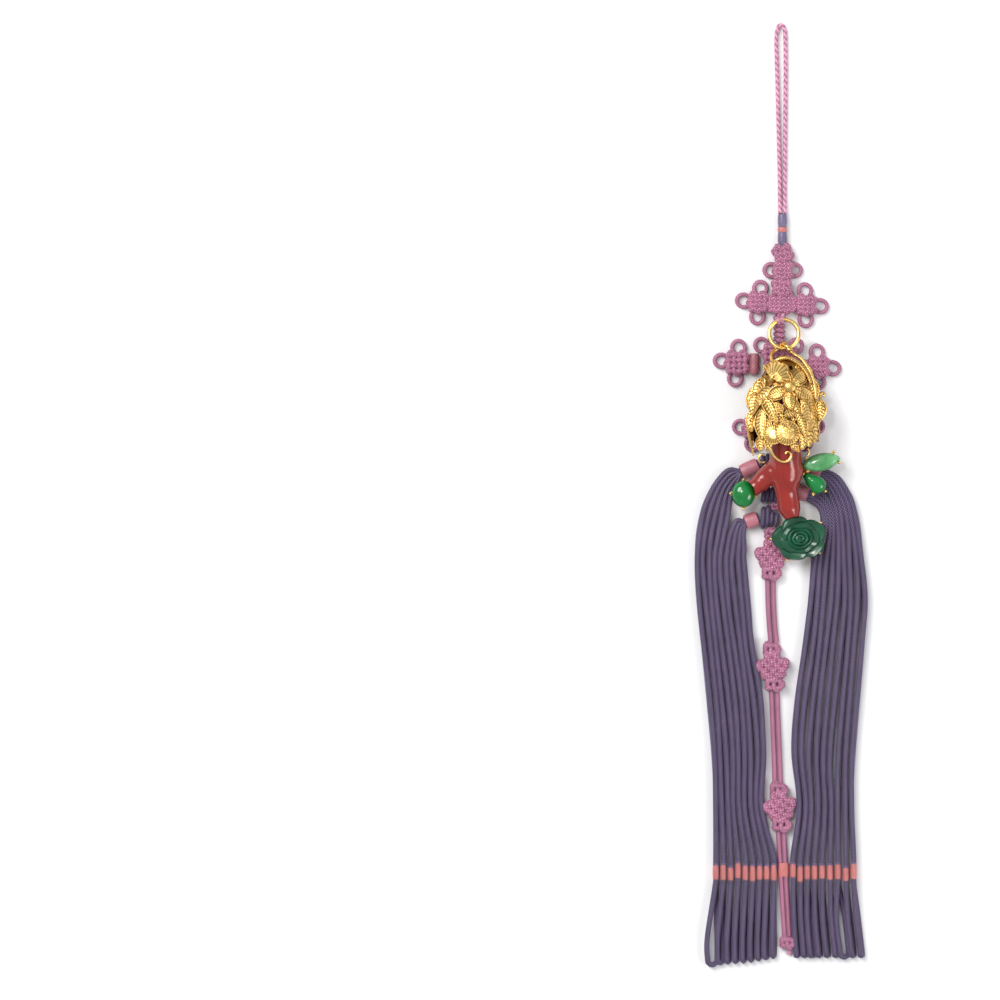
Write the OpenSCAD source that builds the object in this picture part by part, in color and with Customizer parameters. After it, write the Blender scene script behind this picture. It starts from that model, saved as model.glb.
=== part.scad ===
// A norigae lying on its back: a hanging loop and knots of pink cord, a cast gold cap that
// holds a branch of coral with four green stones, and a purple cord tassel with a knotted
// centre drop. Millimetres. +Y points to the hanging loop, +Z is up, the surface is z = 0.

/* [Cords] */
// Diameter of the pink braided cord
cord_d = 2.2; // [2:0.1:2.4]
// Diameter of one purple strand of the tassel
strand_d = 2.1; // [1.9:0.05:2.2]
// Thickness of the knots of pink cord
knot_t = 4.6; // [4.2:0.1:5]

/* [Hanging loop binding] */
// Diameter of the purple thread binding
binding_d = 3.9; // [3.8:0.1:4.6]
// Length of the purple thread binding
binding_len = 12.4; // [9:0.2:15]
// Length of the coral-pink band in the middle of the binding
band_len = 1.9; // [1.2:0.1:3]
// Depth of the groove that the band sits in
band_depth = 0.5; // [0.4:0.05:0.6]

/* [Knots] */
// Width of the two plain knots above the cross
plain_knot_w = 7; // [6.4:0.2:8]
// Height of the two plain knots above the cross
plain_knot_h = 6.3; // [5.6:0.1:7]
// Height of the knot with two ears
eared_knot_h = 7.1; // [6.4:0.1:8]
// Distance from the middle of a looped knot to the middle of its loops
petal_reach = 5.7; // [5.3:0.1:6.2]
// Mean radius of a loop of a looped knot
petal_r = 2.4; // [2.2:0.1:2.6]
// Distance across the cross, from middle to middle of its side knots
cross_span = 19.2; // [18.8:0.2:22]
// Diameter of the coiled column behind the ring
column_d = 5.2; // [4.6:0.1:5.4]
// Length of the coiled column behind the ring
column_len = 12.4; // [10:0.2:14]

/* [Ring] */
// Outer diameter of the gold ring
ring_d = 13.4; // [12:0.2:14]
// Wire diameter of the gold ring
ring_wire = 1.65; // [1.4:0.05:1.8]
// Tilt of the ring, which the bail lifts at its lower side
ring_tilt = 9; // [7:1:11]

/* [Cap] */
// Length of the cap from its top to its mouth
cap_len = 34.5; // [32:0.5:37]
// Half width of the cap at its mouth
cap_r = 13.8; // [13:0.1:14.6]
// Depth of the cap as a share of its width
cap_flat = 0.7; // [0.66:0.01:0.74]
// Wall of the cap
cap_wall = 1.2; // [1:0.1:1.5]
// Thickness of a leaf on the cap
leaf_t = 1; // [0.8:0.1:1.3]
// Wire diameter of the bail
bail_wire = 1.5; // [1.2:0.1:1.6]

/* [Coral] */
// Radius of the coral trunk
trunk_r = 6.6; // [6:0.1:7]
// Length of the coral below the mouth of the cap
coral_len = 29.5; // [27:0.5:31]

/* [Stones] */
// Length of the leaf stone
leaf_len = 15.2; // [13:0.2:16]
// Width of the leaf stone
leaf_w = 7; // [6:0.1:7.6]
// Length of the pear stone
pear_len = 10.4; // [9:0.2:11]
// Width of the pear stone
pear_w = 7.4; // [6.4:0.1:7.8]
// Length of the oval cabochon
oval_len = 10.6; // [9:0.1:11]
// Width of the oval cabochon
oval_w = 9.3; // [8:0.1:9.6]
// Height of the cabochon above its setting
oval_h = 4.2; // [3:0.1:5]
// Width of the carved rose
rose_w = 22.6; // [20:0.2:23.4]
// Height of the carved rose as seen from above
rose_h = 18.6; // [17:0.2:19]
// Thickness of the carved rose
rose_t = 6; // [5:0.1:7]
// Wire diameter of a prong
prong_wire = 0.9; // [0.7:0.05:1]

/* [Tassel] */
// Half of the tassel's width at its widest
tassel_half_w = 34.7; // [33.5:0.1:37]
// Length of the tassel from its shoulders to the ends of its loops
tassel_len = 204; // [195:1:225]
// Width of a neck of the tassel inside its thread wrap
neck_w = 4.9; // [4.4:0.1:5]
// Wall of a neck wrap
wrap_wall = 0.6; // [0.5:0.05:0.8]
// Length of the thread wraps near the ends of the strands
strand_wrap_len = 5.6; // [4:0.2:7]
// Width of the thread wraps near the ends of the strands
strand_wrap_w = 2.6; // [2.4:0.05:2.65]

/* [Drop] */
// Width of the three large knots of the centre drop
big_knot_w = 11.4; // [10.4:0.1:11.6]
// Height of the small knots of the centre drop
small_knot_h = 4.8; // [4.4:0.1:5.2]

/* [Hidden] */

PINK = [0.73, 0.42, 0.60];
PURPLE = [0.40, 0.35, 0.50];
ROSE_THREAD = [0.80, 0.50, 0.55];
CORAL_THREAD = [0.92, 0.47, 0.45];
GOLD = [0.90, 0.70, 0.25];
CORAL = [0.63, 0.20, 0.14];
GREEN = [0.05, 0.50, 0.16];
PALE_GREEN = [0.35, 0.70, 0.42];
DARK_GREEN = [0.08, 0.35, 0.20];

gap = 0.2;
slip = 0.1;
cord_r = cord_d / 2;
loop_cord_d = 1.75;
knot_z = knot_t / 2;
back_z = 5.4;

// Heights along Y, each from its neighbour, with y = 0 in the middle of the part
// without its hanging loop
ring_r = (ring_d - ring_wire) / 2;
column_top_rise = 8.6;
cross_h = 6.4;
top_run = column_top_rise + cross_h + 2 * plain_knot_h + eared_knot_h + binding_len + 5 * gap;
shoulder_drop = 48.8;
ring_y = (shoulder_drop + tassel_len - top_run) / 2;
axis_x = 0.5;
cross_y = ring_y + column_top_rise + gap + cross_h / 2;
round_y = cross_y + cross_h / 2 + gap + plain_knot_h / 2;
eared_y = round_y + (plain_knot_h + eared_knot_h) / 2 + gap;
top_y = eared_y + (plain_knot_h + eared_knot_h) / 2 + gap;
binding_y = top_y + plain_knot_h / 2 + gap;
column_y = ring_y + column_top_rise - column_len;
mid_y = column_y - gap - 4.2;
shoulder_y = ring_y - shoulder_drop;

// Unit vector, and a smooth curve through chosen points
function unit(v) = v / max(norm(v), 0.000001);
function blend(a, b, c, d, t) = 0.5 * (2 * b + (c - a) * t + (2 * a - 5 * b + 4 * c - d) * t * t
    + (3 * b - a - 3 * c + d) * t * t * t);
function curve(p, steps) = let (last = len(p) - 1) concat(
    [for (i = [0 : last - 1], j = [0 : steps - 1])
        blend(p[max(i - 1, 0)], p[i], p[i + 1], p[min(i + 2, last)], j / steps)],
    [p[last]]);
function along(p, i) = unit(p[min(i + 1, len(p) - 1)] - p[max(i - 1, 0)]);

// Cross-section of a cord or of two stacked cords, w wide and h high
function section(w, h, sides) = let (k = (h - w) / 2)
    [for (i = [0 : sides - 1]) let (a = 360 * (i + 0.5) / sides)
        [w / 2 * cos(a), w / 2 * sin(a) + k * sign(sin(a))]];
function ring_of(c, dir, outline) =
    let (side = unit(cross(dir, [0, 0, 1])), up = cross(side, dir))
    [for (q = outline) c + side * q[0] + up * q[1]];

// A tube swept along points; widths holds the width and height at each point
module swept(p, sizes, sides) {
    n = len(p);
    rings = [for (i = [0 : n - 1])
        ring_of(p[i], along(p, i), section(sizes[i][0], sizes[i][1], sides))];
    side_faces = [for (i = [0 : n - 2], j = [0 : sides - 1]) let (
        a = i * sides + j,
        b = i * sides + (j + 1) % sides) each [[a, b, a + sides], [b, b + sides, a + sides]]];
    ends = [
        [for (j = [0 : sides - 1]) sides - 1 - j],
        [for (j = [0 : sides - 1]) (n - 1) * sides + j]
    ];
    polyhedron([for (r = rings) each r], concat(side_faces, ends));
}

module round_tube(p, d, sides = 8) swept(p, [for (q = p) [d, d]], sides);

module at(x, y, z = 0) translate([x, y, z]) children();

// Turns a shape drawn upwards so that it runs towards +Y
module towards_y() rotate([-90, 0, 0]) children();

// One lobe of a knot, with its seam turned to the angle given
module lobe(x, y, r, seam = 0) at(x, y) rotate([0, 0, seam]) sphere(r = r);

// A free direction for a lobe's seam, away from the lobes and loops that join it
function seam_of(x, y, inner) = inner ? (abs(y) > 3 ? -47.5 : 90) * sign(y) : atan2(y, x);

// Lump of cord crossings: rounded lobes at the corners and along the long side
module lobed_knot(w, h, t, columns = 2) {
    r = min(t, h) / 2 - 0.05;
    reach_x = w / 2 - r;
    reach_y = max(h / 2 - r, 0);
    for (i = [0 : columns - 1], side = reach_y < 0.3 * r ? [0] : [-1, 1]) {
        x = -reach_x + 2 * reach_x * i / (columns - 1);
        lobe(x, side * reach_y, r, seam_of(x, side * reach_y, i > 0 && i < columns - 1));
    }
    if (reach_y > (columns == 2 ? 0.3 : 1.2) * r)
        lobe(0, 0, 0.92 * r, columns == 2 ? 90 : 0);
}

// Lump of cord crossings drawn as a padded plate in two steps
module pad_outline(w, h, r) {
    for (x = [-1, 1], y = [-1, 1])
        translate([x * (w / 2 - r), y * (h / 2 - r)]) circle(r = r);
    square([w - 0.6, h - 2 * r + 0.8], center = true);
    square([w - 2 * r + 0.8, h - 0.6], center = true);
}
module padded_knot(w, h, t) translate([0, 0, -t / 2]) {
    linear_extrude(t - 1) pad_outline(w, h, 2.2);
    linear_extrude(t) pad_outline(w - 1.6, h - 1.6, 1.8);
}

// A loop of cord lying flat, its height from the middle of its knot
loop_z = cord_r - knot_z + 0.05;
module cord_loop(r) rotate_extrude() translate([r, 0]) circle(d = cord_d);

// A short run of cord that leaves a knot, from a point inside it to a point beside it
module bridge(a, b) translate(a) rotate([0, 90, atan2(b[1] - a[1], b[0] - a[0])])
    cylinder(d = cord_d, h = norm(b - a));

// A knot with loops round it, at the angles given
module looped_knot(angles, reach = petal_reach) {
    body = reach + cord_r * 0.2 - petal_r;
    lobed_knot(body * 2.15, body * 2.15, knot_t);
    for (a = angles)
        at(reach * cos(a), reach * sin(a), loop_z) cord_loop(petal_r);
}

// A column of coils, drawn upwards from z = 0
module coils(d, length, count) {
    pitch = length / count;
    rotate_extrude() intersection() {
        translate([0, 0]) square([d, length]);
        union() {
            square([d / 2 - pitch * 0.3, length]);
            for (i = [0 : count - 1])
                translate([d / 2 - pitch * 0.5, pitch * (i + 0.5)]) circle(d = pitch);
        }
    }
}

// An outline with round ends, w wide and h high; sides 0 leaves its ends truly round
module pill(w, h, sides = 0) {
    long = max(w, h);
    short = min(w, h);
    turn = w >= h ? 0 : 90;
    rotate(turn) {
        square([long - short, short], center = true);
        for (side = [-1, 1])
            translate([side * (long - short) / 2, 0]) circle(d = short, $fn = sides);
    }
}

// Route of the hanging loop: x from the axis, y above the binding, z above the surface
LOOP_ROUTE = [
    [-0.9, 0, 1.9], [-0.9, 3, 1.4], [-1.0, 8, 0.9], [-1.2, 20, 0.9], [-1.5, 32, 0.9],
    [-1.8, 44, 0.9], [-2.1, 56, 0.9], [-2.4, 66, 0.9], [-2.4, 70, 0.9], [-2.1, 73, 0.9],
    [-1.5, 74.9, 0.9], [-0.5, 75.6, 0.9], [0.4, 74.9, 0.9], [1.0, 73, 0.9], [1.2, 70, 0.9],
    [1.3, 64, 0.9], [1.3, 54, 0.9], [1.2, 42, 0.9], [1.1, 30, 0.9], [1.0, 18, 0.9],
    [0.9, 8, 0.9], [0.9, 3, 1.4], [0.9, 0, 1.9]
];

module hanging_loop() color(PINK)
    at(axis_x, binding_y + binding_len + 3 * slip)
        round_tube(curve(LOOP_ROUTE, 2), loop_cord_d, 6);

module loop_binding() color(PURPLE)
    at(axis_x, binding_y, binding_d / 2) towards_y() difference() {
        cylinder(d = binding_d, h = binding_len);
        translate([0, 0, (binding_len - band_len) / 2]) difference() {
            cylinder(d = binding_d + 1, h = band_len);
            cylinder(d = binding_d - 2 * band_depth, h = band_len);
        }
    }

module binding_band() color(CORAL_THREAD)
    at(axis_x, binding_y + (binding_len - band_len) / 2 + slip / 2, binding_d / 2)
        towards_y() difference() {
            cylinder(d = binding_d, h = band_len - slip);
            cylinder(d = binding_d - 2 * band_depth + slip, h = band_len - slip);
        }

module top_knot() color(PINK)
    at(axis_x + 0.2, top_y, knot_z) lobed_knot(plain_knot_w, plain_knot_h, knot_t);

module eared_knot() color(PINK)
    at(axis_x + 0.1, eared_y, knot_z) {
        padded_knot(plain_knot_w, eared_knot_h, knot_t);
        for (side = [-1, 1])
            at(side * (plain_knot_w / 2 + 0.9), 0.2, loop_z)
                cord_loop(petal_r);
    }

module round_knot() color(PINK)
    at(axis_x - 0.3, round_y, knot_z) lobed_knot(plain_knot_w, plain_knot_h, knot_t);

body_reach = (petal_reach + cord_r * 0.2 - petal_r) * 2.15 / 2;
cross_centre_w = cross_span - 2 * body_reach - 2 * gap;
module cross_knot_centre() color(PINK)
    at(axis_x - 0.2, cross_y, knot_z) lobed_knot(cross_centre_w, cross_h, knot_t, 3);
module cross_knot_left() color(PINK)
    at(axis_x - 0.2 - cross_span / 2, cross_y + 0.8, knot_z) looped_knot([80, 173, 268]);
module cross_knot_right() color(PINK)
    at(axis_x - 0.2 + cross_span / 2, cross_y - 0.3, knot_z) looped_knot([94, -4, 269]);

column_x = axis_x - 1.3;
module ring_column() color(PINK)
    at(column_x, column_y, column_d / 2) towards_y() coils(column_d, column_len, 6);

// The ring leans on the column at its top and is lifted by the bail at its bottom
ring_top_z = column_d + ring_wire / 2 + slip;
module in_ring_frame()
    at(axis_x + 0.5, ring_y + ring_r, ring_top_z) rotate([-ring_tilt, 0, 0])
        translate([0, -ring_r, 0]) children();
module gold_ring() color(GOLD)
    in_ring_frame() rotate_extrude() translate([ring_r, 0]) circle(d = ring_wire);

// Two threads over the ring at its top
tie_d = 0.9;
module ring_tie() color(PINK)
    in_ring_frame() for (turn = [6, 24])
        rotate([0, 0, turn]) translate([0, ring_r, 0]) rotate([0, 90, 0])
            rotate([0, 0, 105]) rotate_extrude(angle = 150)
                translate([ring_wire / 2 + slip + tie_d / 2, 0]) circle(d = tie_d);

module mid_knot_centre() color(PINK)
    at(axis_x - 1.2, mid_y, knot_z) {
        padded_knot(12.4, 8, knot_t);
        at(-7.1, 3.9, loop_z) cord_loop(petal_r);
        at(6.5, 3.6, loop_z) rotate([0, 0, 180]) cord_loop(petal_r);
    }
module mid_knot_left() color(PINK)
    at(axis_x - 18.2, mid_y - 3.2, knot_z) looped_knot([84, 172, 264], petal_reach + 0.5);
module mid_knot_right() color(PINK)
    at(axis_x + 14.2, mid_y - 4.8, knot_z) {
        looped_knot([94, -5, 270], petal_reach + 0.2);
        bridge([-2, 1.2, 0], [-9.2, 3.2, 0]);
    }
module woven_sleeve() color(ROSE_THREAD)
    at(axis_x - 11.2, mid_y - 3.6, knot_z) rotate([90, 0, 0])
        translate([0, 0, -3.9]) linear_extrude(7.8) pill(4.4, knot_t - 0.4);

back_top = mid_y - 4.4;
back_len = back_top - shoulder_y - 2.2;
module back_column() color(PINK)
    at(axis_x - 1, back_top - back_len, knot_z) towards_y() coils(knot_t - 0.2, back_len, 12);
low_y = shoulder_y + 11.2;
module low_knot_left() color(PINK)
    at(axis_x - 11.2, low_y, knot_z) {
        padded_knot(8.6, 7.6, knot_t);
        at(-5.5, 0.6, loop_z) cord_loop(petal_r);
        at(-0.8, -6, loop_z) cord_loop(petal_r);
        bridge([2, 0, 0], [10.2 - knot_t / 2, 0, 0]);
    }
module low_knot_right() color(PINK)
    at(axis_x + 8.2, low_y + 0.2, knot_z) rotate([0, 0, 180]) {
        padded_knot(8.6, 7.6, knot_t);
        at(-5.5, -0.6, loop_z) cord_loop(petal_r);
        at(-0.8, 6, loop_z) cord_loop(petal_r);
        bridge([2, 0, 0], [9.2 - knot_t / 2, 0, 0]);
    }

// The cap stands on its mouth in its own frame: +Y to its top, +Z to the viewer.
// Columns of the profile: share of the length above the mouth, share of the mouth's radius
CAP_PROFILE = [
    [0, 1], [0.2, 0.975], [0.4, 0.9], [0.58, 0.8], [0.76, 0.65], [0.9, 0.45], [1, 0.14]
];
cap_lean = 7;
cap_y = ring_y - 8.2 - cap_len;
cap_z = back_z + cap_r * cap_flat;
function cap_share(t) = lookup(t, CAP_PROFILE);
function cap_point(t, a) = [
    cap_r * cap_share(t) * sin(a), cap_len * t, cap_r * cap_flat * cap_share(t) * cos(a)];
function cap_slope(t) = atan2(
    (cap_share(max(t - 0.08, 0)) - cap_share(min(t + 0.08, 1))) * cap_r,
    (min(t + 0.08, 1) - max(t - 0.08, 0)) * cap_len);
module in_cap_frame() at(axis_x + 0.5, cap_y, cap_z) rotate([-cap_lean, 0, 0]) children();
module on_cap(t, a, roll = 0, lift = 0)
    translate(cap_point(t, a)) rotate([0, atan2(sin(a), cos(a) / cap_flat), 0])
        rotate([-cap_slope(t), 0, roll]) translate([0, 0, lift]) children();

module cap_body(inset, below = 0) rotate([-90, 0, 0]) scale([1, cap_flat, 1])
    rotate_extrude($fn = 28) polygon(concat([[0, -below], [cap_r - inset, -below]],
        [for (row = CAP_PROFILE) if (row[0] > 0 || below == 0)
            [max(row[1] * cap_r - inset, 0.4), row[0] * (cap_len - inset)]],
        [[0, cap_len - inset]]));

// A leaf: its blade from stem to tip with a raised rib, pointing towards the mouth
module leaf(length, w) {
    hull() {
        translate([0, length * 0.5, -leaf_t * 0.3]) cylinder(d = w * 0.3, h = leaf_t, $fn = 4);
        translate([0, length * 0.1, -leaf_t * 0.3]) cylinder(d = w, h = leaf_t, $fn = 6);
        translate([0, -length * 0.5, -leaf_t * 0.8]) cylinder(d = 0.6, h = leaf_t, $fn = 4);
    }
    hull() {
        translate([0, length * 0.45, 0]) cylinder(d = 0.6, h = leaf_t, $fn = 4);
        translate([0, -length * 0.4, -leaf_t * 0.4]) cylinder(d = 0.4, h = leaf_t, $fn = 4);
    }
}

// Leaves of the cap. Columns: share of the length above the mouth, degrees round from
// the front, length and width as shares of the cap's length, roll in degrees
LEAVES = [
    [0.35, -25, 0.30, 0.11, 22], [0.18, -40, 0.33, 0.11, 0], [0.32, -62, 0.32, 0.12, -6],
    [0.03, -52, 0.30, 0.10, 6], [0.86, -25, 0.24, 0.22, 40], [0.40, 35, 0.30, 0.10, 14],
    [0.22, 42, 0.34, 0.10, 12], [0.10, 28, 0.26, 0.10, 10], [0.34, 62, 0.36, 0.11, 4],
    [0.10, 66, 0.30, 0.11, -8], [0.62, 58, 0.30, 0.12, -20], [0.60, -75, 0.30, 0.12, 10],
    [0.25, 95, 0.32, 0.12, 6], [0.15, -95, 0.30, 0.12, -8], [0.55, 110, 0.28, 0.12, 8],
    [0.50, -115, 0.28, 0.12, -10], [0.20, 125, 0.32, 0.13, 0], [0.20, -130, 0.32, 0.13, 6]
];
// Petals of the large flower and of the small one: degrees round the flower's middle
FLOWER = [78, 142, 205, 270, 330];
SMALL_FLOWER = [105, 345, 250];
// Gaps between the leaves. Columns: as for the leaves, share of the length above the
// mouth, degrees round, width and height of the gap in shares of the cap's length
PIERCED = [
    [0.68, -38, 0.10, 0.08], [0.55, -78, 0.08, 0.14], [0.45, 20, 0.06, 0.06],
    [0.50, 88, 0.08, 0.14], [0.25, -80, 0.08, 0.16], [0.28, 78, 0.07, 0.12],
    [0.78, 30, 0.08, 0.06], [0.45, 135, 0.10, 0.12], [0.45, -140, 0.10, 0.12],
    [0.2, 160, 0.12, 0.14], [0.2, -165, 0.12, 0.14]
];
fruit_r = 4.7;

module flower(reach, petal, angles, boss) {
    for (a = angles)
        rotate([0, 0, a - 90]) translate([0, reach, 0]) rotate([180, 180, 0])
            leaf(petal, petal * 0.75);
    hull() {
        cylinder(d = boss, h = leaf_t * 0.6, $fn = 10);
        cylinder(d = boss * 0.5, h = leaf_t * 1.7, $fn = 8);
    }
}

// Wires of the cap, in the part's own frame from the middle of the ring
BAIL_ROUTE = [
    [-4.6, -11.6, 12.5], [-5.2, -9.2, 9.6], [-4.6, -7.4, 7.3], [-3.2, -6.1, 6.3],
    [-1.6, -5.0, 6.3], [-0.5, -3.9, 7.4], [0.2, -3.9, 9.4], [1.2, -5.4, 10.6],
    [3.2, -7.6, 10.8], [7.2, -10.4, 11.4], [10.6, -16, 13], [12.2, -22, 14.6],
    [12.4, -26, 15.2]
];
ARCH_ROUTE = [
    [-5.6, -14.5, 13.5], [-4.2, -11.2, 14.4], [0.4, -9.6, 14.8], [5.2, -11.6, 14.8],
    [8.6, -15.4, 15.6], [10.4, -19.6, 16.4]
];
TWIG_ROUTE = [
    [-12.6, -32, 15.4], [-14.4, -36, 15.4], [-14.2, -40, 15.0], [-13.0, -45, 14.4],
    [-12.4, -48.6, 14.0]
];
// Tendril from the mouth of the cap over the coral, from the middle of the mouth
TENDRIL_ROUTE = [
    [-7.2, 2.6, 7.2], [-6.9, 0.4, 6.4], [-5.4, -4.0, 5.6], [-3.4, -6.9, 5.4],
    [-1.0, -8.2, 5.4], [1.1, -7.9, 5.4], [2.4, -6.2, 5.4], [2.1, -4.6, 5.4],
    [0.8, -4.3, 5.4], [0.1, -5.2, 5.4]
];

module cap() color(GOLD) {
    in_cap_frame() {
        difference() {
            cap_body(0);
            cap_body(cap_wall, 1);
            for (row = PIERCED)
                on_cap(row[0], row[1], 0, -3 * cap_wall) scale([row[2], row[3], 1])
                    cylinder(d = cap_len, h = 6 * cap_wall, $fn = 8);
        }
        // Pin inside the cap, towards the top of the coral
        translate([0, cap_len - 1, 0]) rotate([90, 0, 0])
            cylinder(d = 3, h = cap_len * 0.4 - 1, $fn = 10);
        for (row = LEAVES)
            on_cap(row[0], row[1], row[4], leaf_t * 0.2)
                leaf(row[2] * cap_len, row[3] * cap_len);
        on_cap(0.63, 10, 0, leaf_t * 0.6) flower(4.9, 6.2, FLOWER, 5.2);
        on_cap(0.31, -8, 0, leaf_t * 0.5) flower(2.6, 4.2, SMALL_FLOWER, 1.2);
        for (row = [[3.5, 0.05, 2], [-1.9, 0.02, 1.2]])
            on_cap(0.1, row[0], 0, row[2] * leaf_t - leaf_t) hull() {
                translate([row[0] < 0 ? -4.4 : 0, 0, 0]) cylinder(r = fruit_r, h = leaf_t, $fn = 16);
                translate([row[0] < 0 ? -4.4 : 0, 0, 0])
                    cylinder(r = fruit_r * 0.7, h = leaf_t * 1.4, $fn = 12);
            }
        // Bud at the right edge
        on_cap(0.46, 86, 0, leaf_t) {
            hull() {
                cylinder(d = 3.4, h = 1.6, $fn = 8);
                translate([0, 1.4, 1.6]) cylinder(d = 2, h = 0.8, $fn = 8);
            }
            hull() {
                translate([0, 1.6, 0.8]) sphere(d = 1.6, $fn = 8);
                translate([0, 5, 1.6]) sphere(d = 1.4, $fn = 8);
            }
        }
    }
    at(axis_x + 0.5, ring_y) {
        round_tube(curve(BAIL_ROUTE, 2), bail_wire, 6);
        round_tube(curve(ARCH_ROUTE, 2), bail_wire + 0.3, 6);
        round_tube(curve(TWIG_ROUTE, 1), 1.2, 6);
    }
    at(axis_x + 0.5, cap_y, cap_z) round_tube(curve(TENDRIL_ROUTE, 2), 1.1, 6);
}

// The coral: branches of balls, each a place and a radius. x from the cap's middle, y as a
// share of the length below the mouth, z below the middle of the mouth, r of the trunk's
TRUNK = [
    [0.8, -0.46, -0.6, 0.88], [0.8, -0.2, -0.9, 0.94], [0.6, 0.05, -1.6, 0.98],
    [0.4, 0.26, -2.2, 1.0], [0.9, 0.47, -2.8, 0.94], [0.5, 0.63, -4, 0.73],
    [1.1, 0.74, -4.4, 0.7], [2.2, 0.9, -4.6, 0.69], [2.6, 0.96, -4.6, 0.58]
];
BRANCH = [
    [-0.6, 0.36, -2.6, 0.8], [-6.2, 0.45, -3.8, 0.64], [-9.6, 0.56, -4.4, 0.58],
    [-11.8, 0.62, -4.6, 0.54]
];
STUB = [[-1, -0.42, -1.6, 0.6], [-6.4, -0.26, -2.2, 0.44], [-8.6, -0.05, -3, 0.36], [-9, 0.02, -3.2, 0.3]];
KNEE = [[3.2, 0.4, -2.6, 0.7], [5.4, 0.4, -3, 0.36]];
function coral_at(row) = [row[0], -row[1] * coral_len, row[2]];
module limb(rows, sides) for (i = [0 : len(rows) - 2]) hull() {
    translate(coral_at(rows[i])) sphere(r = rows[i][3] * trunk_r, $fn = sides);
    translate(coral_at(rows[i + 1])) sphere(r = rows[i + 1][3] * trunk_r, $fn = sides);
}
module coral() color(CORAL) difference() {
    at(axis_x + 0.5, cap_y, cap_z) {
        limb(TRUNK, 16);
        limb(BRANCH, 12);
        limb(STUB, 10);
        limb(KNEE, 10);
    }
    // Seats ground into its ends for the cabochon and the rose
    translate(oval_place - [0, 0, 1]) scale([(oval_w + 0.8) / (oval_len + 0.8), 1, 1])
        cylinder(d = oval_len + 0.8, h = 20, $fn = 36);
    translate(oval_place + [oval_w / 2, -0.6, -1]) cylinder(d = 2.6, h = 20, $fn = 12);
    translate(rose_place - [0, 0, 1]) scale([1, rose_h / rose_w, 1])
        cylinder(d = rose_w + 1.2, h = 20, $fn = 48);
}

// Small wires that hold the coral and its stones
module wire_arc(r, d, angle) rotate_extrude(angle = angle) translate([r, 0]) circle(d = d);
module coral_wires() color(GOLD)
    at(axis_x + 0.5, cap_y, cap_z) {
        at(-8.6, -6.9, -5.2) rotate([0, 0, 60]) wire_arc(1.6, 0.9, 240);
        at(-5.9, -16.9, -7.6) rotate([0, 0, -40]) wire_arc(2.1, 0.8, 80);
        at(7.8, -4.4, -4.6) rotate([0, 0, -40]) wire_arc(2, 0.9, 80);
    }

// Stones. Each is drawn on its setting's plate, which lies at its girdle's underside
leaf_place = [axis_x + 15.3, cap_y - 8.4, back_z + 3.6];
leaf_turn = 12;
pear_place = [axis_x + 13.7, cap_y - 17.4, back_z + 1.8];
pear_turn = 142;
oval_place = [axis_x - 15.7, cap_y - 21.1, back_z + 1.2];
rose_place = [axis_x + 6.7, cap_y - 38.8, back_z + 0.6];
plate_t = 0.8;
girdle_t = 0.9;

module marquise(length, w) {
    r = (length * length + w * w) / (4 * w);
    intersection_for(side = [-1, 1])
        translate([0, side * (r - w / 2)]) circle(r = r);
}
// A polished stone with sloping facets round a flat table
module faceted_stone(outline_points, h) {
    n = len(outline_points);
    levels = [[0, 0.96], [girdle_t, 1], [h * 0.7, 0.8], [h, 0.45]];
    pts = [for (level = levels, q = outline_points)
        [q[0] * level[1], q[1] * level[1], level[0]]];
    polyhedron(pts, concat(
        [[for (j = [0 : n - 1]) j]],
        [for (i = [0 : 2], j = [0 : n - 1]) let (a = i * n + j, b = i * n + (j + 1) % n)
            each [[a, a + n, b], [b, a + n, b + n]]],
        [[for (j = [0 : n - 1]) 4 * n - 1 - j]]));
}
function leaf_outline(length, w) = [for (i = [0 : 15]) let (a = 360 * i / 16)
    [length / 2 * cos(a), w / 2 * sin(a) * pow(abs(sin(a)), 0.35)]];
function pear_outline(length, w) = [for (i = [0 : 15]) let (a = 360 * i / 16)
    [w / 2 * cos(a) + (length - w) * pow((1 + cos(a)) / 2, 3),
     w / 2 * sin(a) * (1 - 0.35 * pow((1 + cos(a)) / 2, 2))]];

// A prong beside the edge of a stone, leaning over its girdle
module prong(x, y, h, outward) {
    reach = prong_wire / 2 + slip;
    base = [x + reach * cos(outward), y + reach * sin(outward), 0];
    translate(base) cylinder(d = prong_wire, h = h, $fn = 24);
    translate([base[0], base[1], h]) sphere(d = prong_wire * 1.15, $fn = 24);
}

// Arm of a setting from the middle of its plate to a prong
module arm(x, y, outward) {
    reach = prong_wire / 2 + slip;
    base = [x + reach * cos(outward), y + reach * sin(outward)];
    rotate([0, 0, atan2(base[1], base[0])])
        translate([0, -prong_wire * 0.6, 0]) cube([norm(base), prong_wire * 1.2, plate_t * 0.8]);
}

module leaf_stone() color(PALE_GREEN)
    translate(leaf_place) rotate([0, 0, leaf_turn]) at(0, 0, plate_t + slip)
        faceted_stone(leaf_outline(leaf_len, leaf_w), 3.2);
module pear_stone() color(GREEN)
    translate(pear_place) rotate([0, 0, pear_turn]) at(0, 0, plate_t + slip)
        faceted_stone(pear_outline(pear_len, pear_w), 3.8);

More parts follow.
